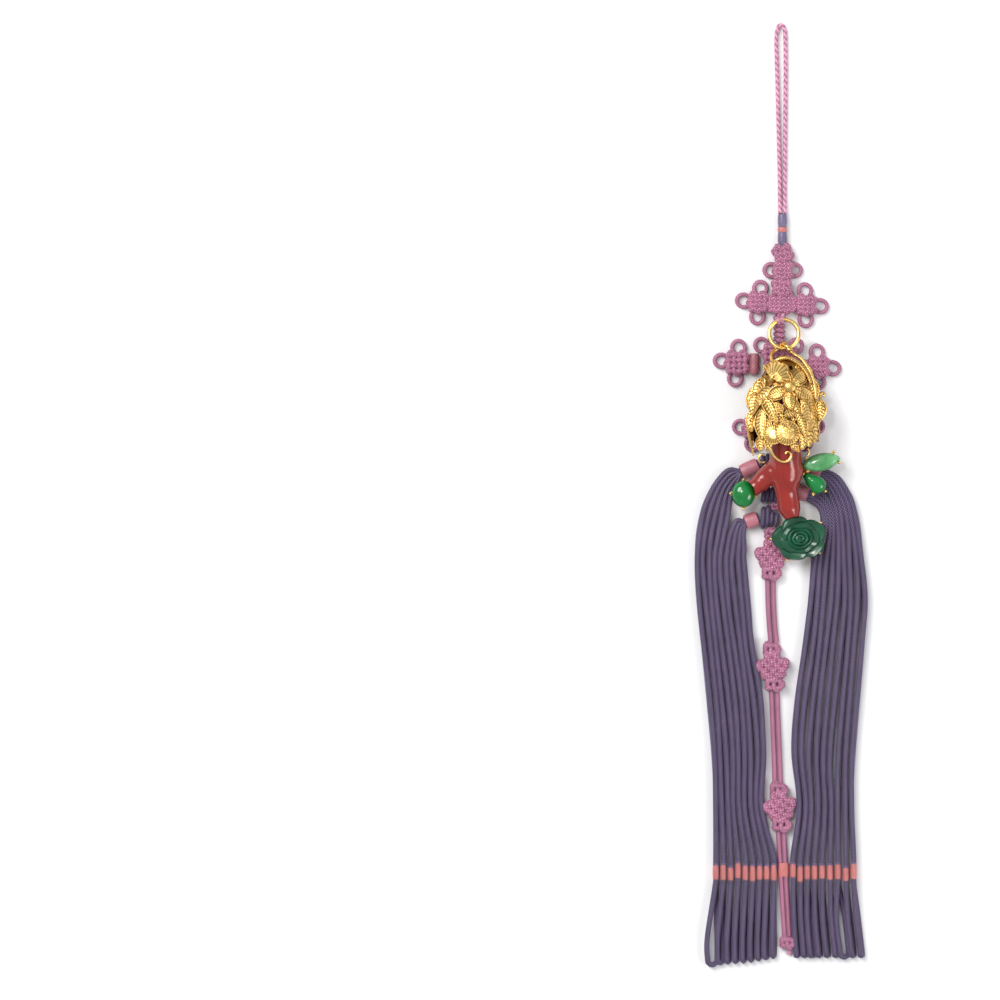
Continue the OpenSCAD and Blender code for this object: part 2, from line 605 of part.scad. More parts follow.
module leaf_setting() color(GOLD) {
    translate(leaf_place) rotate([0, 0, leaf_turn]) {
        linear_extrude(plate_t) marquise(leaf_len * 0.84, leaf_w * 0.6);
        for (p = [[-0.36, 0.36, 120], [-0.4, -0.3, 230], [0.38, 0.36, 60], [0.44, -0.2, 330]]) {
            prong(p[0] * leaf_len, p[1] * leaf_w, plate_t + girdle_t + 0.5, p[2]);
            arm(p[0] * leaf_len, p[1] * leaf_w, p[2]);
        }
    }
    translate(pear_place) rotate([0, 0, pear_turn]) {
        cylinder(d = pear_w * 0.84, h = plate_t);
        for (p = [[-0.36, 0, 180], [-0.1, 0.36, 110], [0.62, 0, 0]]) {
            prong(p[0] * pear_len, p[1] * pear_len, plate_t + girdle_t + 0.5, p[2]);
            arm(p[0] * pear_len, p[1] * pear_len, p[2]);
        }
    }
    // Wire that joins the plate of the leaf to the prong at the pear's point
    a = leaf_place + [-3.9, -0.9, 0.4];
    b = pear_place + [-5.51, 4.3, 0.45];
    translate(a) rotate([0, acos((b[2] - a[2]) / norm(b - a)), atan2(b[1] - a[1], b[0] - a[0])])
        cylinder(d = 0.7, h = norm(b - a), $fn = 24);
}

module cabochon() color(GREEN)
    translate(oval_place) at(0, 0, plate_t + slip) {
        intersection() {
            scale([oval_w / oval_len, 1, oval_h / oval_len * 2]) sphere(d = oval_len);
            translate([-oval_len, -oval_len, 0]) cube([2 * oval_len, 2 * oval_len, oval_h]);
        }
    }
module cabochon_setting() color(GOLD)
    translate(oval_place) {
        linear_extrude(plate_t) scale([oval_w / oval_len, 1]) circle(d = oval_len - 0.6);
        for (a = [88, 178, 352, 268]) {
            prong(oval_w / 2 * cos(a), oval_len / 2 * sin(a), plate_t + girdle_t + 0.3, a);
            at(oval_w / 2 * cos(a) * 0.96, oval_len / 2 * sin(a) * 0.96)
                cylinder(d = 1.7, h = plate_t);
        }
    }

// The rose: five outer petals, an inner whorl of raised petals and a bud.
// Columns: degrees round, reach as a share of half the width, radius as a share of the width
ROSE_LOBES = [[75, 0.54, 0.24], [144, 0.64, 0.24], [213, 0.62, 0.24], [280, 0.53, 0.24], [358, 0.52, 0.24]];
ROSE_RIDGES = [
    [30, 0.60, 0.86], [95, 0.56, 0.86], [160, 0.60, 0.86], [225, 0.56, 0.86], [290, 0.56, 0.86],
    [350, 0.56, 0.86], [50, 0.26, 1.06], [170, 0.26, 1.06], [290, 0.26, 1.06]
];
// Prongs of its setting, in the notches between the petals: degrees round, and reach
ROSE_PRONGS = [[106, 0.9], [42, 1.0], [318, 0.94], [246, 1.04], [181, 1.02]];
function rose_spot(a, share) = [rose_w / 2 * share * cos(a), rose_h / 2 * share * sin(a), 0];
module rose() color(DARK_GREEN)
    translate(rose_place + [0, 0, plate_t + slip]) {
        for (row = ROSE_LOBES)
            hull() {
                translate(rose_spot(row[0], row[1]))
                    scale([1, rose_h / rose_w, 1])
                        cylinder(r = row[2] * rose_w, h = rose_t * 0.35, $fn = 16);
                translate(rose_spot(row[0], row[1] * 0.9))
                    scale([1, rose_h / rose_w, 1])
                        cylinder(r = row[2] * rose_w * 0.8, h = rose_t * 0.6, $fn = 12);
            }
        hull() {
            cylinder(r = rose_h * 0.3, h = rose_t * 0.7, $fn = 16);
            cylinder(r = rose_h * 0.14, h = rose_t * 0.92, $fn = 12);
        }
        for (row = ROSE_RIDGES) hull()
            for (side = [-1, 1])
                translate(rose_spot(row[0] + side * 18 / (row[1] + 0.3), row[1])
                    + [0, 0, rose_t * (row[2] - 0.32)])
                    sphere(r = rose_t * 0.16, $fn = 8);
    }
module rose_setting() color(GOLD)
    translate(rose_place) {
        linear_extrude(plate_t) scale([1, rose_h / rose_w]) circle(d = rose_w * 0.72);
        for (p = ROSE_PRONGS) {
            spot = rose_spot(p[0], p[1]);
            at(spot[0], spot[1]) {
                cylinder(d = prong_wire, h = rose_t * 0.62, $fn = 24);
                translate([0, 0, rose_t * 0.62]) sphere(d = prong_wire * 1.15, $fn = 24);
            }
            rotate([0, 0, atan2(spot[1], spot[0])])
                translate([0, -0.6, 0]) cube([norm(spot), 1.2, plate_t * 0.8]);
        }
    }

// Knots of purple cord that hold the tassel: upright turns of cord side by side.
// Columns: x from the axis, y of the middle below the shoulders, height, number of turns
turn_pitch = strand_d - 0.2;
turn_h = back_z - slip - gap;
UPPER_TURNS = [[-8, 1.8, 6, 2], [-4.8, 4.4, 11, 6], [6, 3.8, 9, 1]];
MIDDLE_TURNS = [[-7.6, 15.4, 6, 1], [-6, 15.4, 6.6, 5], [2.6, 14.8, 5.4, 1]];
LOWER_TURNS = [[-7.8, 24.1, 9.4, 2], [-4.2, 25, 6.4, 2]];
module turns(rows) for (row = rows)
    at(axis_x + row[0], shoulder_y - row[1] + row[2] / 2, turn_h / 2) rotate([90, 0, 0])
        linear_extrude(row[2]) for (i = [0 : row[3] - 1])
            translate([i * turn_pitch, 0]) pill(strand_d, turn_h);
module head_knot_upper() color(PURPLE) turns(UPPER_TURNS);
module head_knot_middle() color(PURPLE) turns(MIDDLE_TURNS);
module head_knot_lower() color(PURPLE) turns(LOWER_TURNS);
module core_knot() color(PINK)
    at(axis_x - 2.8, shoulder_y - 20.1, knot_z) {
        lobe(-0.7, 0, 1.25, 180);
        lobe(0.7, 0, 1.25);
    }

// Necks of the tassel. Columns: x of the inner end from the axis, y below the shoulders,
// direction in degrees, length of the wrap
NECKS = [
    [-9.8, 3.4, 204, 7.2],
    [-10.05, 24.6, 200, 5],
    [8.6, 3.8, -24, 7.2],
    [5, 13.7, -18, 5.2]
];
neck_t = 4;
neck_z = neck_t / 2 + wrap_wall + slip;
function neck_start(i) = [axis_x + NECKS[i][0], shoulder_y - NECKS[i][1], 0];
function neck_dir(i) = [cos(NECKS[i][2]), sin(NECKS[i][2]), 0];
module in_neck(i) translate(neck_start(i) + [0, 0, neck_z])
    rotate([0, 0, NECKS[i][2] - 90]) rotate([-90, 0, 0]) children();
module neck_wrap(i) color(ROSE_THREAD)
    in_neck(i) linear_extrude(NECKS[i][3]) difference() {
        pill(neck_w + 2 * slip + 2 * wrap_wall, neck_t + 2 * slip + 2 * wrap_wall);
        pill(neck_w + 2 * slip, neck_t + 2 * slip);
    }

// The fans of strands. Columns: x of the outer edge as a share of half the tassel's width,
// its distance below the shoulders as a share of the tassel's length, then the same for
// the inner edge
UPPER_LEFT = [
    [-0.59, 0.022, -0.50, 0.056], [-0.73, 0.041, -0.54, 0.072], [-0.84, 0.069, -0.565, 0.091],
    [-0.93, 0.104, -0.58, 0.12], [-0.985, 0.155, -0.63, 0.16], [-1, 0.21, -0.67, 0.21],
    [-0.965, 0.3, -0.63, 0.3], [-0.86, 0.477, -0.5, 0.477], [-0.81, 0.583, -0.455, 0.583],
    [-0.785, 0.686, -0.45, 0.686], [-0.795, 0.785, -0.37, 0.785], [-0.795, 0.83, -0.37, 0.83],
    [-0.84, 0.94, -0.39, 0.94], [-0.84, 0.99, -0.39, 0.985]
];
LOWER_LEFT = [
    [-0.51, 0.121, -0.42, 0.15], [-0.575, 0.135, -0.415, 0.165], [-0.625, 0.156, -0.4, 0.18],
    [-0.655, 0.184, -0.4, 0.197], [-0.67, 0.216, -0.39, 0.216], [-0.63, 0.3, -0.34, 0.3],
    [-0.57, 0.375, -0.3, 0.375], [-0.5, 0.477, -0.205, 0.477], [-0.455, 0.583, -0.17, 0.583],
    [-0.45, 0.686, -0.19, 0.686], [-0.37, 0.785, -0.045, 0.785], [-0.37, 0.83, -0.045, 0.83],
    [-0.39, 0.94, -0.05, 0.94], [-0.39, 0.985, -0.05, 0.975]
];
UPPER_RIGHT = [
    [0.56, 0.028, 0.465, 0.057], [0.67, 0.039, 0.52, 0.071], [0.765, 0.062, 0.57, 0.089],
    [0.84, 0.088, 0.605, 0.109], [0.905, 0.135, 0.625, 0.145], [0.955, 0.195, 0.62, 0.195],
    [1, 0.279, 0.61, 0.279], [0.965, 0.377, 0.555, 0.377], [0.87, 0.578, 0.44, 0.578],
    [0.85, 0.686, 0.46, 0.686], [0.88, 0.785, 0.425, 0.785], [0.88, 0.83, 0.425, 0.83],
    [0.92, 0.9, 0.44, 0.9], [0.97, 0.975, 0.48, 0.975]
];
LOWER_RIGHT = [
    [0.42, 0.063, 0.35, 0.093], [0.515, 0.076, 0.415, 0.1], [0.59, 0.098, 0.455, 0.113],
    [0.62, 0.125, 0.46, 0.135], [0.63, 0.159, 0.405, 0.164], [0.62, 0.195, 0.355, 0.195],
    [0.61, 0.279, 0.3, 0.279], [0.555, 0.377, 0.235, 0.377], [0.49, 0.475, 0.15, 0.475],
    [0.44, 0.578, 0.11, 0.578], [0.46, 0.686, 0.17, 0.686], [0.425, 0.785, 0.095, 0.785],
    [0.425, 0.83, 0.095, 0.83], [0.44, 0.9, 0.115, 0.9], [0.48, 0.975, 0.14, 0.975]
];
FANS = [UPPER_LEFT, LOWER_LEFT, UPPER_RIGHT, LOWER_RIGHT];
COUNTS = [5, 4, 5, 4];
wrap_share = 0.815;
stack_z = strand_d;
wrap_h = 2 * strand_d + 0.6;

function fan_point(row, share) = [
    (row[0] + (row[2] - row[0]) * share) * tassel_half_w,
    shoulder_y - (row[1] + (row[3] - row[1]) * share) * tassel_len, 0];
function share_of(i, k) = (k + 0.5) / COUNTS[i];
function at_wrap(row) = row[1] > 0.78 && row[1] < 0.84;
// Places of strand k of bundle i, from inside the end of its neck to the loop's end
function strand_points(i, k) = let (
    side = [-neck_dir(i)[1], neck_dir(i)[0], 0] * (NECKS[i][0] < 0 ? -1 : 1),
    root = neck_start(i) + neck_dir(i) * (NECKS[i][3] + 0.3)
        + side * neck_w * 0.8 * (0.5 - share_of(i, k)),
    rows = FANS[i],
    tip = fan_point(rows[len(rows) - 1], share_of(i, k)) + [0, -0.8, stack_z])
    concat([root + [0, 0, neck_z]], [for (row = rows)
        fan_point(row, share_of(i, k)) + [0, 0, at_wrap(row) ? wrap_h / 2 : stack_z]], [tip]);
// Distance of strand k from its nearest neighbour, measured across it
function strand_room(i, k) = let (p = strand_points(i, k))
    [for (r = [0 : len(p) - 1]) min([for (other = [k - 1, k + 1])
        if (other >= 0 && other < COUNTS[i])
            norm(cross(strand_points(i, other)[r] - p[r], along(p, r)))])];
function strand_sizes(i, k) = let (room = strand_room(i, k), last = len(FANS[i]))
    [for (r = [0 : last + 1])
        r == 0 ? [room[0] - 0.2, 1.6]
        : r > last ? [min(strand_d, room[r]) * 0.6, 1.3 * strand_d]
        : at_wrap(FANS[i][r - 1]) ? [strand_wrap_w - 0.9, wrap_h - 0.9]
        : [min(strand_d, room[r] - 0.25), 2 * strand_d - 0.1]];

// Where strand k passes the thread wraps, and its direction there
function wrap_spot(i, k) = let (
    rows = [for (row = FANS[i]) if (at_wrap(row)) row],
    a = fan_point(rows[0], share_of(i, k)),
    b = fan_point(rows[1], share_of(i, k)))
    [a + (b - a) * (wrap_share - 0.785) / 0.045, b - a];

// A bundle: its neck, a web that opens towards the fan, and its strands
module bundle(i) color(PURPLE) {
    in_neck(i) linear_extrude(NECKS[i][3] + 1.2) pill(neck_w, neck_t, 24);
    hull() {
        in_neck(i) translate([0, 0, NECKS[i][3] + 0.3])
            linear_extrude(0.6) pill(neck_w - 0.3, neck_t - 0.3, 20);
        for (share = [0.16, 0.84])
            translate(fan_point(FANS[i][0], share) + [0, 0, neck_z])
                cylinder(r = 0.4, h = 2, center = true, $fn = 6);
    }
    for (k = [0 : COUNTS[i] - 1]) {
        p = strand_points(i, k);
        swept(p, strand_sizes(i, k), 8);
        // Two lugs that keep the strand's ends full
        hull() {
            translate(p[0] * 1 - neck_dir(i) * 0.7) cube([0.5, 0.5, 0.9], center = true);
            translate(p[0] * 0.8 + p[1] * 0.2) cube([0.4, 0.4, 0.7], center = true);
        }
        hull() {
            translate(p[len(p) - 1] + [0, 0.6, 0]) cube([0.7, 0.5, 1.5], center = true);
            translate(p[len(p) - 1] + [0, -0.4, 0]) cube([0.5, 0.3, 1.1], center = true);
        }
    }
}

module strand_wraps(bundles) color(CORAL_THREAD)
    for (i = bundles, k = [0 : COUNTS[i] - 1]) {
        spot = wrap_spot(i, k);
        translate(spot[0] + [0, 0, wrap_h / 2])
            rotate([0, 0, atan2(spot[1][1], spot[1][0]) + 90]) rotate([90, 0, 0])
                translate([0, 0, -strand_wrap_len / 2]) linear_extrude(strand_wrap_len)
                    difference() {
                        pill(strand_wrap_w, wrap_h);
                        pill(strand_wrap_w - 0.7, wrap_h - 0.7);
                    }
    }

// The centre drop. Columns: x from the axis, share of the tassel's length below the shoulders
drop_z = knot_z;
KNOT_PLACES = [[-4.7, 0.152], [-4.3, 0.194], [-3.9, 0.412], [-1.0, 0.687]];
function drop_y(share) = shoulder_y - share * tassel_len;
module drop_knot_top() color(PINK)
    at(axis_x + KNOT_PLACES[0][0], drop_y(KNOT_PLACES[0][1]), knot_z) lobed_knot(4.8, 3.6, 3.6);
module big_knot() {
    lobed_knot(big_knot_w, big_knot_w, knot_t, 3);
}
small_reach = big_knot_w / 2 + small_knot_h / 2 - 1.3;
module drop_knot_upper() color(PINK)
    at(axis_x + KNOT_PLACES[1][0], drop_y(KNOT_PLACES[1][1]), drop_z) {
        big_knot();
        at(-0.4, -small_reach) lobed_knot(7, small_knot_h, 4.4);
    }
module drop_knot_middle() color(PINK)
    at(axis_x + KNOT_PLACES[2][0], drop_y(KNOT_PLACES[2][1]), drop_z) {
        big_knot();
        at(-0.7, small_reach) lobed_knot(6.4, small_knot_h, 4.4);
        at(0.5, -small_reach) lobed_knot(7, small_knot_h, 4.4);
    }
module drop_knot_lower() color(PINK)
    at(axis_x + KNOT_PLACES[3][0], drop_y(KNOT_PLACES[3][1]), drop_z) {
        big_knot();
        at(-0.8, small_reach) lobed_knot(6.4, small_knot_h, 4.4);
        at(0.4, -small_reach) lobed_knot(7, small_knot_h, 4.4);
    }

// Runs of doubled cord: x and y from the knot or the wrap that each leaves, chosen by hand
knot_end = small_reach + small_knot_h / 2 + slip;
function from_knot(k, side) = [axis_x + KNOT_PLACES[k][0],
    drop_y(KNOT_PLACES[k][1]) + side * knot_end, cord_r + 0.1];
run_1 = [for (t = [0 : 0.2 : 1]) let (a = from_knot(1, -1), b = from_knot(2, 1))
    a + (b - a) * t + [-0.5 + 0.9 * t - 0.3 * sin(180 * t), 0, 0]];
run_2 = [for (t = [0 : 0.2 : 1]) let (a = from_knot(2, -1), b = from_knot(3, 1))
    a + (b - a) * t + [0.6 - 1.4 * t, 0, 0]];
drop_end = [axis_x + 1.9, drop_y(0.942), cord_r + 0.1];
wrap_place = [axis_x + 0.4, drop_y(0.81), cord_r + 0.1];
run_3 = [for (t = [0, 0.2, 0.32, 0.44, 0.72, 1]) let (a = from_knot(3, -1))
    [t < 0.44 ? a[0] + 0.4 + (wrap_place[0] - a[0] - 0.4) * t / 0.44
        : wrap_place[0] + (drop_end[0] - wrap_place[0]) * (t - 0.44) / 0.56,
     a[1] + (drop_end[1] - a[1]) * t, cord_r + 0.25]];
module drop_cord_1() color(PINK) double_run(run_1, cord_d);
module drop_cord_2() color(PINK) double_run(run_2, cord_d);
module drop_cord_3() color(PINK) double_run(run_3, cord_d - 0.2);
module double_run(p, d) for (side = [-1, 1])
    round_tube([for (q = p) q + [side * (d + slip) / 2, 0, 0]], d, 8);

module drop_wrap() color(CORAL_THREAD)
    at(wrap_place[0], wrap_place[1], cord_r + 0.35) rotate([90, 0, 0])
        translate([0, 0, -strand_wrap_len / 2]) linear_extrude(strand_wrap_len) difference() {
            pill(2 * cord_d + 0.4, cord_d + 0.6);
            pill(2 * cord_d - 0.1, cord_d);
        }
end_h = 4.2;
module drop_end_knot() color(PINK)
    at(drop_end[0], drop_end[1] - slip - end_h / 2, knot_z - 0.3) lobed_knot(6, end_h, 4);
module drop_tuft() color(PINK)
    at(drop_end[0] + 0.9, drop_end[1] - end_h - 2 * slip, 1.6) rotate([90, 0, 0])
        cylinder(d1 = 2.2, d2 = 3, h = 2.8);

hanging_loop();
loop_binding();
binding_band();
top_knot();
eared_knot();
round_knot();
cross_knot_centre();
cross_knot_left();
cross_knot_right();
ring_column();
ring_tie();
gold_ring();
mid_knot_centre();
mid_knot_left();
mid_knot_right();
woven_sleeve();
back_column();
low_knot_left();
low_knot_right();
cap();
coral();
coral_wires();
leaf_setting();
leaf_stone();
pear_stone();
cabochon_setting();
cabochon();
rose_setting();
rose();
head_knot_upper();
head_knot_middle();
head_knot_lower();
core_knot();
neck_wrap(0);  // neck_wrap_upper_left
neck_wrap(1);  // neck_wrap_lower_left
neck_wrap(2);  // neck_wrap_upper_right
neck_wrap(3);  // neck_wrap_lower_right
bundle(0);  // tassel_upper_left
bundle(1);  // tassel_lower_left
bundle(2);  // tassel_upper_right
bundle(3);  // tassel_lower_right
strand_wraps([0, 1]);  // strand_wraps_left
strand_wraps([2, 3]);  // strand_wraps_right
drop_knot_top();
drop_knot_upper();
drop_knot_middle();
drop_knot_lower();
drop_cord_1();
drop_cord_2();
drop_cord_3();
drop_wrap();
drop_end_knot();
drop_tuft();
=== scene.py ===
import math

import bmesh
import bpy
import numpy as np
from mathutils import Matrix, Vector


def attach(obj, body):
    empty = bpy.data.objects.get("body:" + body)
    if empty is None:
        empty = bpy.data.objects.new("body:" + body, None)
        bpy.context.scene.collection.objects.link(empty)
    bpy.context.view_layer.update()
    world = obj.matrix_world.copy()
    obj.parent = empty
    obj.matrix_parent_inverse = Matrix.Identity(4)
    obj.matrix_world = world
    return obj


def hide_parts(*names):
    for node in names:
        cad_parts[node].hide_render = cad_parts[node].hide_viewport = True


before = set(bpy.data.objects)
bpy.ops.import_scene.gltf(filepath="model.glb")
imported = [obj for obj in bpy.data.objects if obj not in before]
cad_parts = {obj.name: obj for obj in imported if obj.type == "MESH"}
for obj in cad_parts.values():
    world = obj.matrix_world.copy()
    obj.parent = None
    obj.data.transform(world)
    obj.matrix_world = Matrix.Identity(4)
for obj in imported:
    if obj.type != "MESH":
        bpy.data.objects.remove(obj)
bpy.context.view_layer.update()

bl_info = {
    "name": "Norigae",
    "version": (1, 0, 0),
    "blender": (4, 5, 0),
    "location": "View3D > Sidebar > Norigae",
    "description": "Cords, knots, cast gold and stones of a norigae that lies on its back",
    "category": "Add Mesh",
}

MM = 0.001

# Heights along Y and places from the CAD source, in millimetres
AXIS = 0.5
KNOT_T = 4.6
KNOT_Z = KNOT_T / 2
CORD_D = 2.2
RING_Y = 102.35
CROSS_Y = 114.35
ROUND_Y = 120.9
EARED_Y = 127.8
TOP_Y = 134.7
BINDING_Y = 138.05
BINDING_LEN = 12.4
COLUMN_Y = 98.55
MID_Y = 94.15
LOW_Y = 64.75
SHOULDER_Y = 53.55
CAP_Y = 59.65
CAP_Z = 15.06
CAP_LEN = 34.5
CAP_R = 13.8
CAP_FLAT = 0.7
CAP_LEAN = math.radians(7)
TASSEL_HALF = 34.7
TASSEL_LEN = 204.0
STRAND_D = 2.1


class NorigaeSizes(bpy.types.PropertyGroup):
    """Sizes of the cords and threads"""
    strand: bpy.props.FloatProperty(
        name="Tassel strand", description="Diameter of a purple strand of the tassel",
        default=STRAND_D * MM, min=0.0018, max=0.0023, unit="LENGTH")
    knot_cord: bpy.props.FloatProperty(
        name="Knot cord", description="Diameter of the pink cord that the knots are tied in",
        default=1.8 * MM, min=0.0016, max=0.0024, unit="LENGTH")
    loop_cord: bpy.props.FloatProperty(
        name="Loop cord", description="Diameter of the twisted cord of the hanging loop",
        default=1.75 * MM, min=0.0015, max=0.002, unit="LENGTH")
    thread: bpy.props.FloatProperty(
        name="Wrapping thread", description="Distance between two turns of wrapping thread",
        default=0.42 * MM, min=0.0003, max=0.0007, unit="LENGTH")
    braid: bpy.props.FloatProperty(
        name="Braid stitch", description="Length of one stitch of the braided strands",
        default=1.35 * MM, min=0.0008, max=0.0016, unit="LENGTH")


def colour(name, description, value):
    return bpy.props.FloatVectorProperty(
        name=name, description=description, subtype="COLOR", size=4,
        default=(*value, 1.0), min=0.0, max=1.0)


class NorigaeColours(bpy.types.PropertyGroup):
    """Colours of the cords, threads, stones and metal, in linear values"""
    pink: colour("Pink cord", "Raised stitches of the pink cord", (0.72, 0.34, 0.49))
    # Painted shade in the gaps of the pink cord
    pink_painted_shade: colour("Pink cord, deep", "Gaps of the pink cord", (0.25, 0.065, 0.135))
    purple: colour("Purple strands", "Raised stitches of the tassel", (0.25, 0.17, 0.36))
    # Painted shade in the gaps of the tassel's braid
    purple_painted_shade: colour("Purple, deep", "Gaps of the tassel's braid", (0.016, 0.011, 0.03))
    rose: colour("Neck thread", "Thread round the necks of the tassel", (0.62, 0.215, 0.265))
    coral_thread: colour("Coral thread", "Thread round the strand pairs", (0.68, 0.21, 0.195))
    binding: colour("Binding thread", "Thread below the hanging loop", (0.20, 0.155, 0.28))
    gold: colour("Gold", "Cast and polished gold", (0.98, 0.67, 0.225))
    # Painted shade in the recesses of the cast gold, and its tarnish in broad patches, take this darker
    # colour
    gold_tarnish_and_shade: colour("Gold, deep", "Recesses of the cast gold", (0.25, 0.11, 0.022))
    coral: colour("Coral", "Polished red coral", (0.25, 0.013, 0.007))
    green: colour("Green jade", "Cabochon and pear", (0.001, 0.125, 0.02))
    pale: colour("Pale jade", "Leaf stone", (0.05, 0.26, 0.07))
    dark: colour("Dark jade", "Carved rose", (0.003, 0.048, 0.02))


# Routes and meshes of cords, in millimetres

def smooth_route(points, steps=8, closed=False):
    """Points of an even curve through the points given"""
    p = [np.array(q, float) for q in points]
    n = len(p)
    out = []
    for i in range(n if closed else n - 1):
        if closed:
            a, b, c, d = p[i - 1], p[i], p[(i + 1) % n], p[(i + 2) % n]
        else:
            a, b, c, d = p[max(i - 1, 0)], p[i], p[i + 1], p[min(i + 2, n - 1)]
        for j in range(steps):
            t = j / steps
            out.append(0.5 * (2 * b + (c - a) * t + (2 * a - 5 * b + 4 * c - d) * t * t
                              + (3 * b - a - 3 * c + d) * t ** 3))
    if not closed:
        out.append(p[-1])
    return np.array(out)


def evenly(points, spacing, closed=False):
    """The same route with points a fixed distance apart"""
    p = np.asarray(points, float)
    if closed:
        p = np.vstack([p, p[:1]])
    legs = np.linalg.norm(np.diff(p, axis=0), axis=1)
    run = np.concatenate([[0.0], np.cumsum(legs)])
    count = max(int(round(run[-1] / spacing)), 3)
    count += count % 2
    places = np.linspace(0, run[-1], count + 1)
    out = np.stack([np.interp(places, run, p[:, k]) for k in range(3)], axis=1)
    return out[:-1] if closed else out


def route_length(points):
    """Length along a row of points"""
    return float(np.linalg.norm(np.diff(np.asarray(points, float), axis=0), axis=1).sum())


class Yarn:
    """Cords, threads and wires that are gathered into one piece"""

    def __init__(self):
        self.verts = []
        self.faces = []
        self.rise = []
        self.count = 0

    def add(self, points, faces, rise):
        self.verts.append(np.asarray(points, float).reshape(-1, 3))
        self.rise.append(np.asarray(rise, float).reshape(-1))
        self.faces.extend([[self.count + i for i in face] for face in faces])
        self.count += len(self.verts[-1])

    def tube(self, route, width, height=None, sides=12, spacing=0.575, weave="braid",
             depth=0.16, up=(0, 0, 1), closed=False, period=2.5, square=1.0, phase=0):
        """A cord along a route; width and height may be lists of values along it"""
        p = evenly(route, spacing, closed)
        n = len(p)
        if closed:
            along = np.roll(p, -1, 0) - np.roll(p, 1, 0)
        else:
            along = np.gradient(p, axis=0)
        along /= np.linalg.norm(along, axis=1)[:, None]
        side = np.cross(np.asarray(up, float), along)
        side /= np.linalg.norm(side, axis=1)[:, None]
        top = np.cross(along, side)
        share = np.linspace(0, 1, n)
        height = width if height is None else height
        w, h = (np.interp(share, np.linspace(0, 1, np.size(v)), np.atleast_1d(v)) / 2
                for v in (width, height))
        angle = 2 * math.pi * np.arange(sides) / sides
        i, j = np.meshgrid(np.arange(n), np.arange(sides), indexing="ij")
        # The rise shapes the relief of the weave and also marks its low points for painted shade
        if weave == "braid":
            rise = ((i + j + phase) % 2).astype(float)
        elif weave == "ply":
            rise = np.abs(np.cos(angle[None, :] + math.pi * i * spacing / period))
        elif weave == "ridge":
            rise = ((i + phase) % 2).astype(float)
        else:
            rise = np.ones((n, sides))
        scale = 1 - depth * (1 - rise)
        cos = np.sign(np.cos(angle)) * np.abs(np.cos(angle)) ** square
        sin = np.sign(np.sin(angle)) * np.abs(np.sin(angle)) ** square
        points = (p[:, None, :]
                  + side[:, None, :] * (scale * cos[None, :] * w[:, None])[:, :, None]
                  + top[:, None, :] * (scale * sin[None, :] * h[:, None])[:, :, None])
        faces = []
        for a in range(n if closed else n - 1):
            b = (a + 1) % n
            for k in range(sides):
                m = (k + 1) % sides
                p1, p2, p3, p4 = a * sides + k, a * sides + m, b * sides + m, b * sides + k
                if weave != "braid":
                    faces.append((p1, p2, p3, p4))
                elif rise[a][k] > 0.5:
                    faces.extend(((p1, p2, p4), (p2, p3, p4)))
                else:
                    faces.extend(((p1, p2, p3), (p1, p3, p4)))
        if not closed:
            faces.append(tuple(reversed(range(sides))))
            faces.append(tuple((n - 1) * sides + k for k in range(sides)))
        self.add(points, faces, rise)
        return p

    def make(self, name, material, slot, *nodes, attribute="rise"):
        """The piece itself, in place of its CAD nodes"""
        mesh = bpy.data.meshes.new(name)
        verts = np.concatenate(self.verts) * MM
        mesh.from_pydata(verts.tolist(), [], self.faces)
        # The rise goes into an attribute from which the materials paint shade in the low points
        rise = mesh.attributes.new(attribute, "FLOAT", "POINT")
        rise.data.foreach_set("value", np.concatenate(self.rise).astype(np.float32))
        mesh.polygons.foreach_set("use_smooth", [True] * len(mesh.polygons))
        mesh.update()
        piece = bpy.data.objects.new(name, mesh)
        bpy.context.scene.collection.objects.link(piece)
        return dress(piece, material, slot, *nodes)


def dress(piece, material, slot, *nodes):
    """Gives a piece its finish and its place in the record"""
    piece.data.materials.clear()
    piece.data.materials.append(bpy.data.materials[material])
    if nodes:
        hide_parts(*nodes)
    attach(piece, "root")
    return piece


def deselect():
    """Nothing selected, in object mode"""
    if bpy.context.object and bpy.context.object.mode != "OBJECT":
        bpy.ops.object.mode_set(mode="OBJECT")
    bpy.ops.object.select_all(action="DESELECT")


def select(*pieces):
    """Selects these pieces alone, the first one active"""
    deselect()
    for piece in pieces:
        piece.select_set(True)
    bpy.context.view_layer.objects.active = pieces[0]


def apply_modifier(piece, kind, **values):
    """Adds a modifier and applies it"""
    select(piece)
    modifier = piece.modifiers.new(kind.title(), kind)
    for name, value in values.items():
        setattr(modifier, name, value)
    bpy.ops.object.modifier_apply(modifier=modifier.name)


def join(pieces, name):
    """Several pieces as one"""
    select(*pieces)
    if len(pieces) > 1:
        bpy.ops.object.join()
    piece = bpy.context.object
    piece.name = name
    piece.data.name = name
    return piece


def settle(piece):
    """The place, turn and size of a piece go into its mesh"""
    select(piece)
    bpy.ops.object.transform_apply(location=True, rotation=True, scale=True)
    return piece


# Shader groups and materials

def group_tree(name, inputs, outputs):
    """An empty shader group with its sockets"""
    tree = bpy.data.node_groups.new(name, "ShaderNodeTree")
    for label, kind, value in inputs:
        socket = tree.interface.new_socket(label, in_out="INPUT", socket_type=kind)
        socket.default_value = value
    for label, kind in outputs:
        tree.interface.new_socket(label, in_out="OUTPUT", socket_type=kind)
    return tree, tree.nodes.new("NodeGroupInput"), tree.nodes.new("NodeGroupOutput")


def noise(tree, coord, scale, detail=2.0, stretch=None):
    """A noise pattern on object coordinates, stretched along an axis if asked"""
    node = tree.nodes.new("ShaderNodeTexNoise")
    node.inputs["Scale"].default_value = scale
    node.inputs["Detail"].default_value = detail
    if stretch is not None:
        mapping = tree.nodes.new("ShaderNodeMapping")
        mapping.inputs["Scale"].default_value = stretch
        tree.links.new(coord, mapping.inputs["Vector"])
        coord = mapping.outputs["Vector"]
    tree.links.new(coord, node.inputs["Vector"])
    return node.outputs["Fac"]


